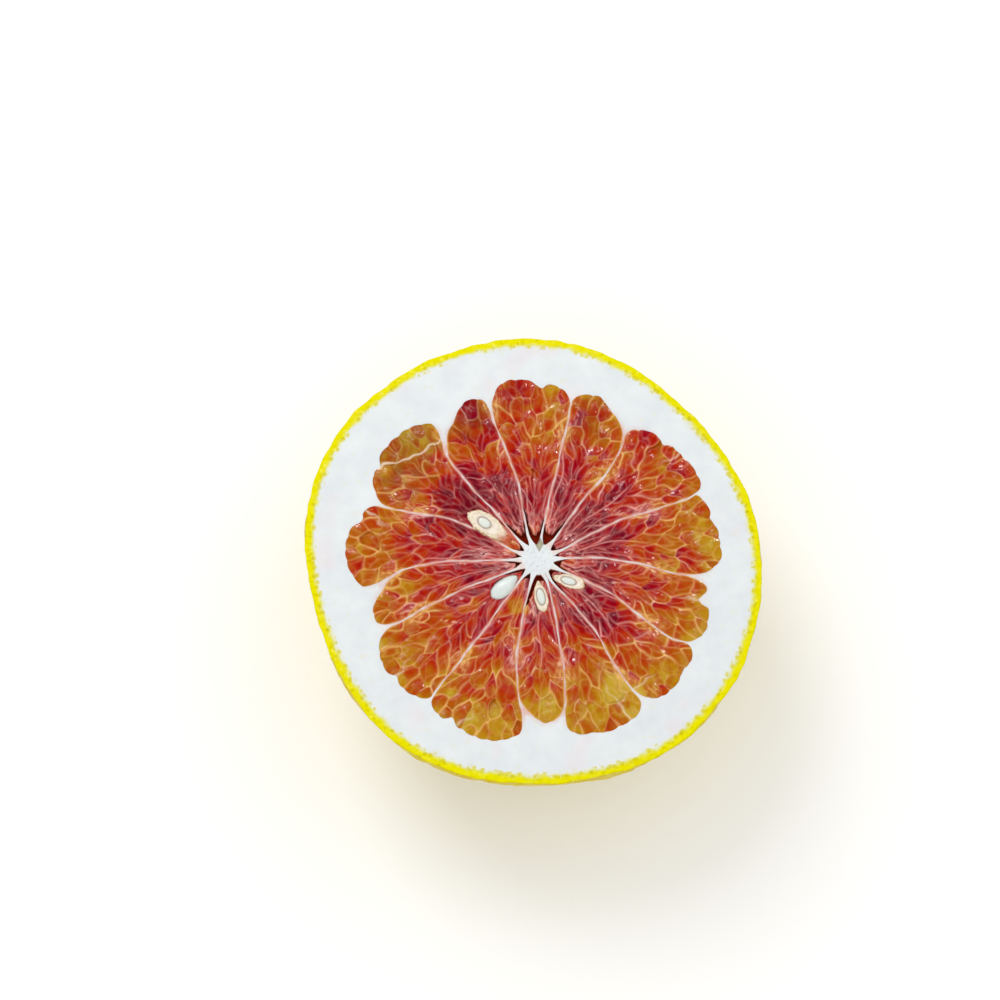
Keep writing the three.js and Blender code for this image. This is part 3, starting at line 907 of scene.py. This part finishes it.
def seed_material(whole):
    shader = Shader("seed_whole" if whole else "seed_cut")
    if whole:
        colour = shader.mix(shader.noise(3, 2), tint(206, 216, 210), tint(222, 228, 224))
    else:
        mottle = shader.math("SUBTRACT", shader.noise(1.6, 3), 0.5)
        coat = shader.rise(shader.attribute("across"), 0.4, 0.7, 0.05, 0.5)
        mottle = shader.times(mottle, coat)
        across = shader.math("ADD", mottle, shader.attribute("across"))
        colour = shader.ramp(across, SEED_STOPS)
        colour = shader.mix(shader.attribute("tail"), colour, tint(186, 74, 24))
    normal = shader.bump(shader.noise(0.7, 3), 0.1, 0.6)
    shader.set(Base_Color=colour, Roughness=0.34, Normal=normal, Specular_IOR_Level=0.4)
    shader.translucent(0.2, 1.0, (1.0, 0.8, 0.5))
    return shader.material


def floor_material():
    shader = Shader("floor")
    shader.set(Base_Color=(0.97, 0.97, 0.97, 1), Roughness=0.5, Specular_IOR_Level=0.2)
    return shader.material


# ---- Peel ----

PEEL_GRID = 280
SPOT_SHARE = 0.1  # share of the grid's radius that lies on the resting spot
PEEL_STEPS = (0.08, 0.3, 0.55, 0.8, 1.0)  # rows down the inner side, from the rim to the resting spot
# Rows across the cut edge of the peel: how far in from the skin, and height above the cut.
RIM_ROWS = ((0.12, -0.1), (0.35, 0), (0.7, 0), (1.2, 0), (1.8, 0), (2.4, 0), (PEEL_THICKNESS, 0))
RIM_ROUNDING = 0.35
PEBBLE_FLATNESS = 1.6  # how much wider than high the wrinkles and pebbles are
RIM_CALM = 14  # below the rim, the skin grows lumpier over this distance
OVERLAP = 0.4  # how far the pith's top runs over the peel's


def dome_point(inset, down, angle):
    """Point of the dome, set in by some millimetres. down runs from 0 at the rim to 1 at the edge of
    the resting spot, and on to 2 at its middle."""
    depth = DOME_DEPTH - inset
    steep = math.asin(min(1, (CUT_HEIGHT - inset) / depth)) * np.minimum(down, 1)
    radius = (RIM_RADIUS - inset) * np.cos(steep) ** DOME_FULLNESS * np.clip(2 - down, 0, 1)
    return raised(polar(radius * outline_share(angle), angle), CUT_HEIGHT - depth * np.sin(steep))


def dome_rows(inset, turns):
    """Rows of points down the inner side of the peel, or the outer side of the pith."""
    return [dome_point(inset, np.full_like(turns, down), turns) for down in PEEL_STEPS]


def disc_grid(count):
    """A square grid bent into a disc: distance from the middle, 0 to 1, and angle of every point, and
    the points' indices by row and column."""
    side = np.linspace(-1, 1, count + 1)
    a, b = np.meshgrid(side, side, indexing="ij")
    wide = np.abs(a) > np.abs(b)
    longer = np.where(wide, a, b)
    shorter = np.where(wide, b, a)
    part = shorter / np.where(longer == 0, 1, longer) * math.pi / 4
    turn = np.where(wide, part, math.pi / 2 - part) + np.where(longer < 0, math.pi, 0)
    return np.abs(longer).ravel(), turn.ravel(), np.arange((count + 1) ** 2).reshape(count + 1, -1)


def skin_relief(points, angle):
    """How far the skin stands out, with the CAD model's lumps, wrinkles and pebbles, and how far each
    place lies down between pebbles, where the peel's colour paints shade."""
    height = points[:, 2]
    down = 1 - height / CUT_HEIGHT
    lump = np.zeros_like(angle)
    for i, (around, along, size) in enumerate(SKIN_LUMPS):
        turn = around * angle + 2.1 * i + 1.3 * np.sin(3 * down + i)
        lump += size * np.sin(turn) * np.cos(math.pi * along * down + i)
    lump *= np.clip(height / (LUMP_FREE * CUT_HEIGHT), 0, 1)
    lump *= 0.3 + 0.7 * smooth(0, RIM_CALM, CUT_HEIGHT - height)
    flat = points * (1, 1, PEBBLE_FLATNESS)
    wrinkle = 0.16 * waves(flat, 20, 21) + 0.12 * waves(flat, 11, 25)
    pebble = 0.11 * waves(flat, 6.5, 22) + 0.09 * waves(flat, 4.6, 23)
    valley_shade = smooth(0.02, -0.26, pebble)
    return lump + (wrinkle + pebble) * smooth(0, 6, height), valley_shade


def peel_outside(share, angle):
    """Points of the skin, and how far each stands out and lies between pebbles, where shade is painted.
    """
    down = np.where(share < SPOT_SHARE, 2 - share / SPOT_SHARE, (1 - share) / (1 - SPOT_SHARE))
    verts = dome_point(0, down, angle)
    relief, valley_shade = skin_relief(verts, angle)
    steep = np.minimum(down, 1) * math.asin(CUT_HEIGHT / DOME_DEPTH)
    verts[:, :2] += polar(relief * np.cos(steep), angle)
    verts[:, 2] = np.maximum(verts[:, 2] - relief * np.sin(steep), 0)
    return verts, relief, valley_shade


def cut_relief(xy):
    """Unevenness of the cut through the pith and the peel."""
    return 0.035 * waves(xy, 3.2, 41) + 0.06 * waves(xy, 17, 42)


def rim_row(inset, height, turns, edge):
    """A row of points across the cut edge of the peel; edge is how far the skin stands out there."""
    row = dome_point(inset, np.zeros_like(turns), turns)
    row[:, :2] += polar(edge * (1 - inset / PEEL_THICKNESS), turns)
    row[:, 2] += height + cut_relief(row[:, :2])
    return row


def build_peel():
    share, angle, index = disc_grid(PEEL_GRID)
    verts, relief, valley_shade = peel_outside(share, angle)
    a, b, c, d = index[:-1, :-1], index[1:, :-1], index[1:, 1:], index[:-1, 1:]
    quads = np.stack([a, d, c, b], axis=-1).reshape(-1, 4)
    rim = np.concatenate([index[:-1, 0], index[-1, :-1], index[:0:-1, -1], index[0, :0:-1]])
    verts[rim, 2] -= RIM_ROUNDING
    skin = Skin(verts, np.concatenate([quads[:, [0, 1, 2]], quads[:, [0, 2, 3]]]))
    turns = angle[rim]
    rows = [rim_row(inset, height, turns, relief[rim]) for inset, height in RIM_ROWS]
    ring = skin.rows(rim, rows + dome_rows(PEEL_THICKNESS, turns), inward=True)
    skin.close(ring, (0, 0, PEEL_THICKNESS), up=True)
    outside = np.zeros(len(verts))
    layers = {
        "depth": np.append(outside, np.repeat([inset for inset, _ in RIM_ROWS], len(rim))),
        "cut": np.append(outside, 1.0),
        "valley_shade": np.append(valley_shade, 0.0),
    }
    skin.piece("peel_skin", peel_material(), "peel", layers)


# ---- Pith ----

RIM_POINTS = 760
PITH_STEP = 1.0  # spacing of points over the pith
PITH_REACH = 80  # no point of the cut lies farther out than this
PITH_CLEARANCE = 0.55  # the least distance of those points from the edges
CORE_ZONE = 8.5  # within this, the points are closer together
CORE_STEP = 0.33
CORE_CLEARANCE = 0.2
LIP_OFFSETS = (0.13, 0.3, 0.6)  # distances from a chamber of the rows of points beside it
PITH_PROUD = 0.015  # how far the pith's top lies above the peel's
HOLLOW_PAST = 0.4  # how far a chamber's hollow runs past its pulp at the lower end
HOLLOW_LIP = 1.2  # how far down its first row lies


def pith_relief(xy, gap):
    """Height of the pith's cut surface, where gap is the distance to the nearest chamber, and how far
    each place lies in the hollow of the core."""
    radius = np.hypot(*xy.T)
    lip = -0.05 * np.exp(-((gap / 0.2) ** 2))
    fibres = 0.12 * waves(xy, 1.5, 43) * (1 - smooth(CORE_DISC, CORE_DISC + 1.5, radius))
    dish = 0.25 * np.exp(-(((radius - CORE_DISC) / 0.5) ** 2)) * waves(xy, 4, 44)
    x, y, half_width, half_length, depth = CAVITY
    pit = np.abs(xy[:, 0] - x) / half_width + np.abs(xy[:, 1] - y) / half_length
    pit = 1 - smooth(0.7, 1.05, pit)
    return lip + cut_relief(xy) + fibres + dish - depth * pit, pit


def pith_points(rim, holes):
    """Points over the pith's cut surface, closer together along the chambers and at the core."""
    edges = np.concatenate([rim, *holes])
    lips = spaced(np.concatenate([beside(hole, LIP_OFFSETS) for hole in holes]), edges, LIP_CLEARANCE)
    grid = hex_grid((-PITH_REACH, -PITH_REACH), (PITH_REACH, PITH_REACH), PITH_STEP, 3)
    grid = grid[np.hypot(*grid.T) > CORE_ZONE]
    core = hex_grid((-CORE_ZONE, -CORE_ZONE), (CORE_ZONE, CORE_ZONE), CORE_STEP, 4)
    core = core[np.hypot(*core.T) < CORE_ZONE]
    near = np.concatenate([edges, lips])
    grid, core = spaced(grid, near, PITH_CLEARANCE), spaced(core, near, CORE_CLEARANCE)
    extra = np.concatenate([lips, grid, core])
    extra = extra[inside(extra, rim)]
    for hole in holes:
        extra = extra[~inside(extra, hole)]
    return extra


def build_pith(cusps):
    turns = np.linspace(0, TURN, RIM_POINTS, endpoint=False)
    inset = PEEL_THICKNESS - OVERLAP
    rim = dome_point(inset, np.zeros_like(turns), turns)[:, :2]
    holes = [chamber_xy(i, *chamber_path(), cusps=cusps[i]) for i in range(CHAMBERS)]

    def keep(middles):
        kept = inside(middles, rim)
        for hole in holes:
            kept &= ~inside(middles, hole)
        return kept

    flat, faces, order = triangulate([rim, *holes], pith_points(rim, holes), keep)
    gap = gap_to(tree_of(np.concatenate(holes)), flat)
    relief, pit = pith_relief(flat, gap)
    skin = Skin(raised(flat, CUT_HEIGHT + relief + PITH_PROUD), faces)
    skin.close(skin.rows(order[0], dome_rows(inset, turns)), (0, 0, inset))
    on_top = skin.count
    for chamber, ring in enumerate(order[1:]):
        add_hollow(skin, chamber, ring, cusps[chamber])
    radius, angle = np.hypot(*flat.T), np.arctan2(flat[:, 1], flat[:, 0])
    depth = CUT_HEIGHT - np.concatenate(skin.parts)[:, 2]
    # Below the cut, the walls of each chamber's hollow take painted shade that grows with depth.
    hollow = smooth(0.5, 1.5, depth)
    hollow[:on_top] = 0
    layers = {
        "depth": RIM_RADIUS * outline_share(angle) - radius,
        "thin": smooth(1.2, 0.5, gap) * smooth(9, 14, radius) * smooth(60, 46, radius),
        "root": smooth(CORE_DISC, CORE_DISC + 1, radius) * smooth(12, 8, radius),
        "sponge": smooth(CORE_DISC, CORE_DISC - 1, radius),
        "cavity": pit,
    }
    layers = {key: np.append(values, 0.0) for key, values in layers.items()}
    skin.piece("pith_flesh", pith_material(), "pith", {**layers, "hollow": hollow})


def chamber_rows(chamber, cusps, steps, depth, lip=0.0):
    """Rows of points down the walls of a chamber, to its lower end."""
    rows = []
    for steep in map(math.radians, steps):
        height = CUT_HEIGHT - depth * math.sin(steep) - lip * math.cos(steep)
        rows.append(raised(chamber_xy(chamber, *chamber_path(), steep, cusps), height))
    return rows


def add_hollow(skin, chamber, ring, cusps):
    """Adds the sides and the floor of a chamber's hollow below its edge."""
    rows = chamber_rows(chamber, cusps, STEPS_DOWN, PULP_DEPTH + HOLLOW_PAST, HOLLOW_LIP)
    skin.close(skin.rows(ring, rows, inward=True), rows[-1].mean(axis=0), up=True)


# ---- Pulp ----


def seed_outline(seed, count, grow=0.0):
    """A seed's outline in its own frame, with its pointed end towards +X."""
    turn = np.linspace(0, TURN, count, endpoint=False)
    along = np.cos(turn)
    half = seed.width / 2 * (1 - SEED_POINT * ((along + 1) / 2) ** 2)
    return np.stack([along * (seed.length / 2 + grow), np.sin(turn) * (half + grow)], axis=1)


def half_gap(chamber, radius):
    """Half the distance between a chamber's two walls."""
    return radius * (septum_angle(chamber + 1, radius) - septum_angle(chamber, radius)) / 2


def pulp_depth(chamber, xy, side, radius):
    """How far each place lies in one of the hollows near the core, 0 to 1; they are painted dark as
    shade.
    """
    wave = 0.25 * waves(xy, 2.5, 81)
    deep = smooth(0.35, -0.25, radius - TIPS[chamber] - 1.4 * side**2 + wave)
    for where, wall, end, width in SLITS:
        if where == chamber:
            share = 1 - (2 * wall - 1) * side
            from_wall = share * half_gap(chamber, radius) - septum_half(chamber + wall, radius)
            taper = width * np.clip((end - radius) / (0.5 * end), 0, 1) ** 0.6
            slit = smooth(0.2, -0.15, from_wall - taper + 0.5 * wave)
            deep = np.maximum(deep, slit * smooth(end, end - 3, radius))
    return deep


def fans(chamber, xy, radius, side):
    """Pale fans beyond the knots on the chamber's two walls, and how much paler the sacs' own walls
    are there and beside the chamber's walls."""
    second = side > 0
    knot = np.where(second, KNOTS[(chamber + 1) % CHAMBERS], KNOTS[chamber])
    from_wall = (1 - np.abs(side)) * half_gap(chamber, radius)
    beyond = radius - knot
    length, spread, start = FAN
    width = start + spread * np.clip(beyond, 0, length)
    fan = smooth(-3, 0.5, beyond) * smooth(length, 1, beyond) * smooth(width, 0.4 * width, from_wall)
    near = smooth(5, 1, from_wall)
    paler = np.maximum(np.exp(-((beyond / 6) ** 2)), 0.45 * smooth(26, 36, radius)) * near
    return fan * np.clip(0.9 + 0.5 * waves(xy, 2.5, 58), 0, 1.2), paler


def threads(pattern, xy, radius, side):
    """Long pale threads that run out from the core and drift towards the walls."""
    width = half_gap(pattern.chamber, radius)
    total = np.zeros(len(xy))
    for i in range(THREADS):
        start = (2 * i + 1) / THREADS - 1 + pattern.rng.uniform(-0.15, 0.15)
        first, last = pattern.rng.uniform(6, 14), pattern.rng.uniform(26, 44)
        sway = 0.08 * np.sin(radius / pattern.rng.uniform(2.5, 5) + pattern.rng.uniform(0, TURN))
        path = start * (1 + 0.35 * smooth(18, 42, radius)) + sway
        half = pattern.rng.uniform(*THREAD_HALF)
        line = np.exp(-(((side - path) * width / half) ** 2))
        ends = smooth(first, first + 4, radius) * smooth(last, last - 9, radius)
        total = np.maximum(total, pattern.rng.uniform(0.35, 0.85) * line * ends)
    return total


def ribs(xy):
    """Pale ribs between groups of sacs."""
    total = np.zeros(len(xy))
    sway = 0.5 * waves(xy, 5, 59)
    for x1, y1, x2, y2, first, last in RIBS:
        length = math.hypot(x2 - x1, y2 - y1)
        direction = math.degrees(math.atan2(y2 - y1, x2 - x1))
        along, across = turned(xy - (x1, y1), -direction).T
        past = along - np.clip(along, 0, length)
        line = np.exp(-((np.hypot(across + sway, past) / RIB_HALF) ** 2))
        total = np.maximum(total, np.interp(along, (0, length), (first, last)) * line)
    return total


def sac_relief(pattern, xy, own, gap, along):
    """Height of the cut sacs: each is a low dome with its own level and tilt, and a few are torn."""
    rng = pattern.rng
    count = len(pattern.middles)
    level = rng.normal(0, SAC_LEVEL, count)
    level = np.where(rng.uniform(0, 1, count) < TORN_SHARE, -TORN_DEPTH, level)
    tilt = ((xy - pattern.middles[own]) * rng.normal(0, SAC_TILT, (count, 2))[own]).sum(axis=1)
    dome = rng.uniform(*SAC_BULGE, count)[own] * (1 - np.exp(-gap / 0.8))
    return dome + (level[own] + tilt + 0.04 * waves(xy, 2.6, 61)) * smooth(0.1, 1.0, gap)


def patched(xy, patches):
    """Sum of round patches with soft, uneven edges."""
    total = np.zeros(len(xy))
    uneven = 0.25 * waves(xy, 7, 57)
    for x, y, size, change in patches:
        away = np.hypot(*(xy - (x, y)).T) / size
        total = total + change * smooth(1.4, 0.5, away + uneven)
    return total


def redness(pattern, xy, radius, own, along, vein_tone):
    """How red the pulp is: by place, by sac, along each sac, and by the fainter second pattern."""
    red = np.interp(radius + 3 * waves(xy, 15, 51), RED_RADII, REDNESS) + REDDER[pattern.chamber]
    red = red + patched(xy, PATCHES)
    count = len(pattern.middles)
    outward = smooth(20, 45, radius)
    fade = pattern.rng.uniform(-0.05, 0.3, count)[own] * (0.3 + 0.7 * outward)
    tone = pattern.tone[own] - 0.5
    tone = 0.28 * tone + 0.8 * np.maximum(tone - 0.34, 0) * (1 + 0.5 * outward)
    red = red + tone - fade * along + VEIN_TONE * (vein_tone - 0.5) + 0.05 * waves(xy, 4, 52)
    return np.minimum(red, np.interp(radius, *RED_MOST))


def milkiness(chamber, xy, radius, fan, deep):
    """How much pale skin lies over the sacs: at their inner ends, on the fans, at the brink of the
    hollows painted dark as shade, and in some single places."""
    inner = smooth(19, 9, radius) * MILKY[chamber]
    milk = np.maximum(inner * (0.75 + 0.35 * waves(xy, 4, 53)), 0.9 * fan)
    brink = smooth(0, 0.25, deep) * smooth(0.8, 0.4, deep) * smooth(4, 8, radius)
    milk = np.maximum(milk, 0.9 * brink)
    for x, y, direction, half_length, half_width, strength in VEILS:
        local = turned(xy - (x, y), -direction) / (half_length, half_width)
        milk = np.maximum(milk, strength * smooth(1.3, 0.6, np.hypot(*local.T)))
    return np.clip(milk, 0, 1)


def pulp_surface(chamber, xy, loop_gap):
    """Relief and shading of the cut sacs of one chamber."""
    pattern = PATTERNS[chamber]
    nearest, gaps, along = pattern.look_up(xy)
    own, gap = nearest[0], np.minimum(gaps[0], loop_gap)
    radius, _, side = across_chamber(chamber, xy)
    fan, stalk = fans(chamber, xy, radius, side)
    calm = 1 - 0.35 * smooth(12, 18, radius) * smooth(44, 34, radius)
    patchy = np.clip(0.85 * calm + 0.35 * waves(xy, 9, 55 + chamber) + stalk, 0.2, 1.2)
    wall = pattern.walls(nearest, gaps) * patchy
    rim = np.exp(-((loop_gap / 0.35) ** 1.5)) * smooth(7, 12, radius)
    wall = np.maximum(wall, rim * smooth(60, 52, radius) * (0.62 + 0.3 * waves(xy, 6, 56)))
    veins = VEINS[chamber]
    vein_nearest, vein_gaps, _ = veins.look_up(xy)
    wall = np.maximum(wall, VEIN_STRENGTH * veins.walls(vein_nearest, vein_gaps))
    wall = np.maximum(wall, threads(pattern, xy, radius, side))
    wall = np.clip(np.maximum(wall, 0.4 * fan), 0, 1)
    relief = sac_relief(pattern, xy, own, gap, along) - 0.05 + 0.08 * wall * np.exp(-gap / 0.4)
    deep = pulp_depth(chamber, xy, side, radius)
    relief = np.clip(relief, *RELIEF_RANGE) * (1 - deep) - SLIT_DEPTH * deep
    layers = {
        "wall": wall,
        "rib": ribs(xy),
        "red": redness(pattern, xy, radius, own, along, veins.tone[vein_nearest[0]]),
        "milk": milkiness(chamber, xy, radius, fan, deep),
        # deep lowers the hollows and also sets the painted shade in them.
        "deep": deep,
        "shade": np.clip(patched(xy, SHADES), 0, 1),
    }
    return relief, layers


def sink_seeds(chamber, xy, relief):
    """Lowers the sacs under the chamber's seeds."""
    grow, height = SEED_BED
    for seed in SEEDS:
        if seed.chamber == chamber:
            outline = turned(seed_outline(seed, SEED_BED_POINTS, grow), seed.points)
            relief[inside(xy, outline + (seed.x, seed.y))] = height


def build_pulp(chamber, cusps, material):
    loop = chamber_xy(chamber, *chamber_path(), cusps=cusps)
    lips = spaced(beside(loop, (PULP_LIP,)), loop, LIP_CLEARANCE)
    grid = hex_grid(loop.min(axis=0), loop.max(axis=0), PULP_STEP, 200 + chamber)
    grid = spaced(grid[inside(grid, loop)], np.concatenate([loop, lips]), PULP_CLEARANCE)
    lips = lips[inside(lips, loop)]
    flat, faces, order = triangulate([loop], np.concatenate([lips, grid]), lambda at: inside(at, loop))
    relief, layers = pulp_surface(chamber, flat, gap_to(tree_of(loop), flat))
    sink_seeds(chamber, flat, relief)
    skin = Skin(raised(flat, CUT_HEIGHT + relief), faces)
    rows = chamber_rows(chamber, cusps, STEPS_DOWN[1:], PULP_DEPTH)
    skin.close(skin.rows(order[0], rows), rows[-1].mean(axis=0))
    for key, values in layers.items():
        layers[key] = np.append(values, np.tile(values[order[0]], len(rows)))
    middle = math.atan2(loop[:, 1].mean(), loop[:, 0].mean())
    every = np.concatenate(skin.parts)
    layers["lateral"] = every[:, 1] * math.cos(middle) - every[:, 0] * math.sin(middle)
    layers["along"] = np.hypot(every[:, 0], every[:, 1]) / GRAIN_STRETCH
    number = f"{chamber + 1:02d}"
    skin.piece(f"sacs_{number}", material, f"pulp_{number}", layers)


# ---- Seeds ----

SEED_AROUND = 110
SEED_RINGS = 30
UNDER_STEPS = (25, 50, 72)  # rows round the underside of a seed, in degrees
SEED_RIM = 0.6  # how far below the rim of a seed its underside begins
SEED_UNDER = 0.75  # how much of a seed's depth the underside takes
SEED_TIP = 0.1
FLESHY_SEED = 1  # the one whose pointed end is covered with flesh


def seed_ring(number, seed, share):
    """A ring of points round a seed, in its own frame: at 1 its outline, at KERNEL_SHARE its kernel's
    and at 0 the kernel's middle."""
    outline = seed_outline(seed, SEED_AROUND)
    if number == WHOLE_SEED:
        return outline * share
    outline *= 1 + 0.035 * waves(outline, 3.4, 75 + number)[:, None]
    shift, length, width = KERNELS[number]
    turn = np.linspace(0, TURN, SEED_AROUND, endpoint=False)
    kernel = np.stack([np.cos(turn) * length / 2, np.sin(turn) * width / 2], axis=1)
    if share < KERNEL_SHARE:
        return kernel * share / KERNEL_SHARE + (shift, 0)
    kernel += (shift, 0)
    return kernel + (outline - kernel) * (share - KERNEL_SHARE) / (1 - KERNEL_SHARE)


def seed_height(number, seed, share, places):
    """Height over a seed: a whole one is a smooth dome; a cut one has a ragged coat, a groove round its
    kernel, and a low dome on the kernel."""
    if number == WHOLE_SEED:
        fall = 0.55 * seed.depth * (1 - math.sqrt(1 - share**2))
        return seed.proud - fall + 0.03 * waves(places, 3, 79)
    coat = 0.2 * math.exp(-(((share - 0.8) / 0.14) ** 2))
    groove = -0.22 * math.exp(-(((share - KERNEL_SHARE) / 0.05) ** 2))
    dome = 0.15 * smooth(0.4, 0.2, share)
    ragged = (0.16 * waves(places, 2.4, 76) + 0.1 * waves(places, 1.2, 77)) * smooth(0.5, 0.75, share)
    return seed.proud + coat + groove + dome + ragged - 0.45 * smooth(0.88, 1.0, share)


def under_seed(number, seed):
    """Rows of points round the underside of a seed."""
    rows = []
    for steep in np.radians(UNDER_STEPS):
        places = seed_ring(number, seed, 1) * math.cos(steep)
        height = seed.proud - SEED_RIM - SEED_UNDER * seed.depth * math.sin(steep)
        rows.append(raised(places, height))
    return rows


def build_seed(number, seed, material):
    shares = np.linspace(1, 0, SEED_RINGS, endpoint=False)
    rings = []
    for share in shares:
        places = seed_ring(number, seed, share)
        rings.append(raised(places, seed_height(number, seed, share, places)))
    outer = np.arange(SEED_AROUND)
    skin = Skin(rings[0], np.empty((0, 3), int))
    skin.close(skin.rows(outer, rings[1:], inward=True), rings[-1].mean(axis=0), up=True)
    under = under_seed(number, seed)
    skin.close(skin.rows(outer, under), under[-1].mean(axis=0) - (0, 0, SEED_TIP))
    every = np.concatenate(skin.parts)
    tail = smooth(0.12, 0.46, every[:, 0] / seed.length + 0.04 * waves(every, 3, 78))
    every[:, :2] = turned(every[:, :2], seed.points) + (seed.x, seed.y)
    every[:, 2] += CUT_HEIGHT
    skin.parts = [every]
    across = np.append(np.repeat(shares, SEED_AROUND), [0.0, 1.0])
    layers = {"across": across, "tail": tail * (number == FLESHY_SEED)}
    skin.piece(f"seed_detail_{number}", material, f"seed_{number}", layers)


# ---- Stage, light and camera ----

VIEW_ELEVATION = 76
FRAME_WIDTH = 329.7  # what the picture takes in across the cut face
LENS = 85
SENSOR = 36
CORE_IN_FRAME = (12.4, -19.9)  # where the core lies from the middle of the picture, in the cut face
FLOOR_HALF = 4.0  # in metres
WORLD_STRENGTH = 0.8
# Name, azimuth and elevation in degrees, distance and size in metres, power in watts, and whether the
# light adds nothing but highlights.
LIGHTS = (
    ("key", 125, 55, 1.1, 0.5, 3.8, False),
    ("fill", 20, 50, 1.3, 0.9, 1.2, False),
    ("front", 262, 50, 1.3, 0.9, 1.2, False),
    ("sparkle", 118, 45, 1.0, 0.1, 3.2, True),
    ("glint", 60, 62, 1.0, 0.08, 2.0, True),
)


def build_floor():
    corners = [(x * FLOOR_HALF, y * FLOOR_HALF, 0) for x, y in ((-1, -1), (1, -1), (1, 1), (-1, 1))]
    mesh = bpy.data.meshes.new("floor")
    mesh.from_pydata(corners, [], [(0, 1, 2, 3)])
    mesh.materials.append(floor_material())
    place_object("floor", mesh)


def add_light(name, azimuth, elevation, distance, size, power, only_gloss):
    """A square soft light that points at the cut face."""
    data = bpy.data.lights.new(name, "AREA")
    data.size = size
    data.energy = power
    obj = place_object(name, data)
    azimuth, elevation = math.radians(azimuth), math.radians(elevation)
    flat = math.cos(elevation)
    away = Vector((flat * math.cos(azimuth), flat * math.sin(azimuth), math.sin(elevation)))
    obj.location = Vector((0, 0, CUT_HEIGHT * MM)) + away * distance
    obj.rotation_euler = away.to_track_quat("Z", "Y").to_euler()
    obj.visible_camera = False
    obj.visible_diffuse = not only_gloss


def build_world():
    world = bpy.data.worlds.new("studio")
    world.use_nodes = True
    background = world.node_tree.nodes["Background"]
    background.inputs["Color"].default_value = (1, 1, 1, 1)
    background.inputs["Strength"].default_value = WORLD_STRENGTH
    bpy.context.scene.world = world


def build_camera():
    data = bpy.data.cameras.new("camera")
    data.lens = LENS
    data.sensor_width = SENSOR
    obj = place_object("camera", data)
    elevation = math.radians(VIEW_ELEVATION)
    target = Vector((-CORE_IN_FRAME[0], -CORE_IN_FRAME[1], CUT_HEIGHT)) * MM
    away = Vector((0, -math.cos(elevation), math.sin(elevation)))
    obj.location = target + away * FRAME_WIDTH * MM * LENS / SENSOR
    obj.rotation_euler = away.to_track_quat("Z", "Y").to_euler()
    bpy.context.scene.camera = obj


def build_fruit():
    cusps = [pattern.cusps() for pattern in PATTERNS]
    build_peel()
    build_pith(cusps)
    pulp = pulp_material()
    for chamber in range(CHAMBERS):
        build_pulp(chamber, cusps[chamber], pulp)
    cut, whole = seed_material(False), seed_material(True)
    for number, seed in enumerate(SEEDS, 1):
        build_seed(number, seed, whole if number == WHOLE_SEED else cut)


bpy.context.scene.view_settings.view_transform = "Standard"
build_camera()
build_world()
for light in LIGHTS:
    add_light(*light)
build_floor()
build_fruit()
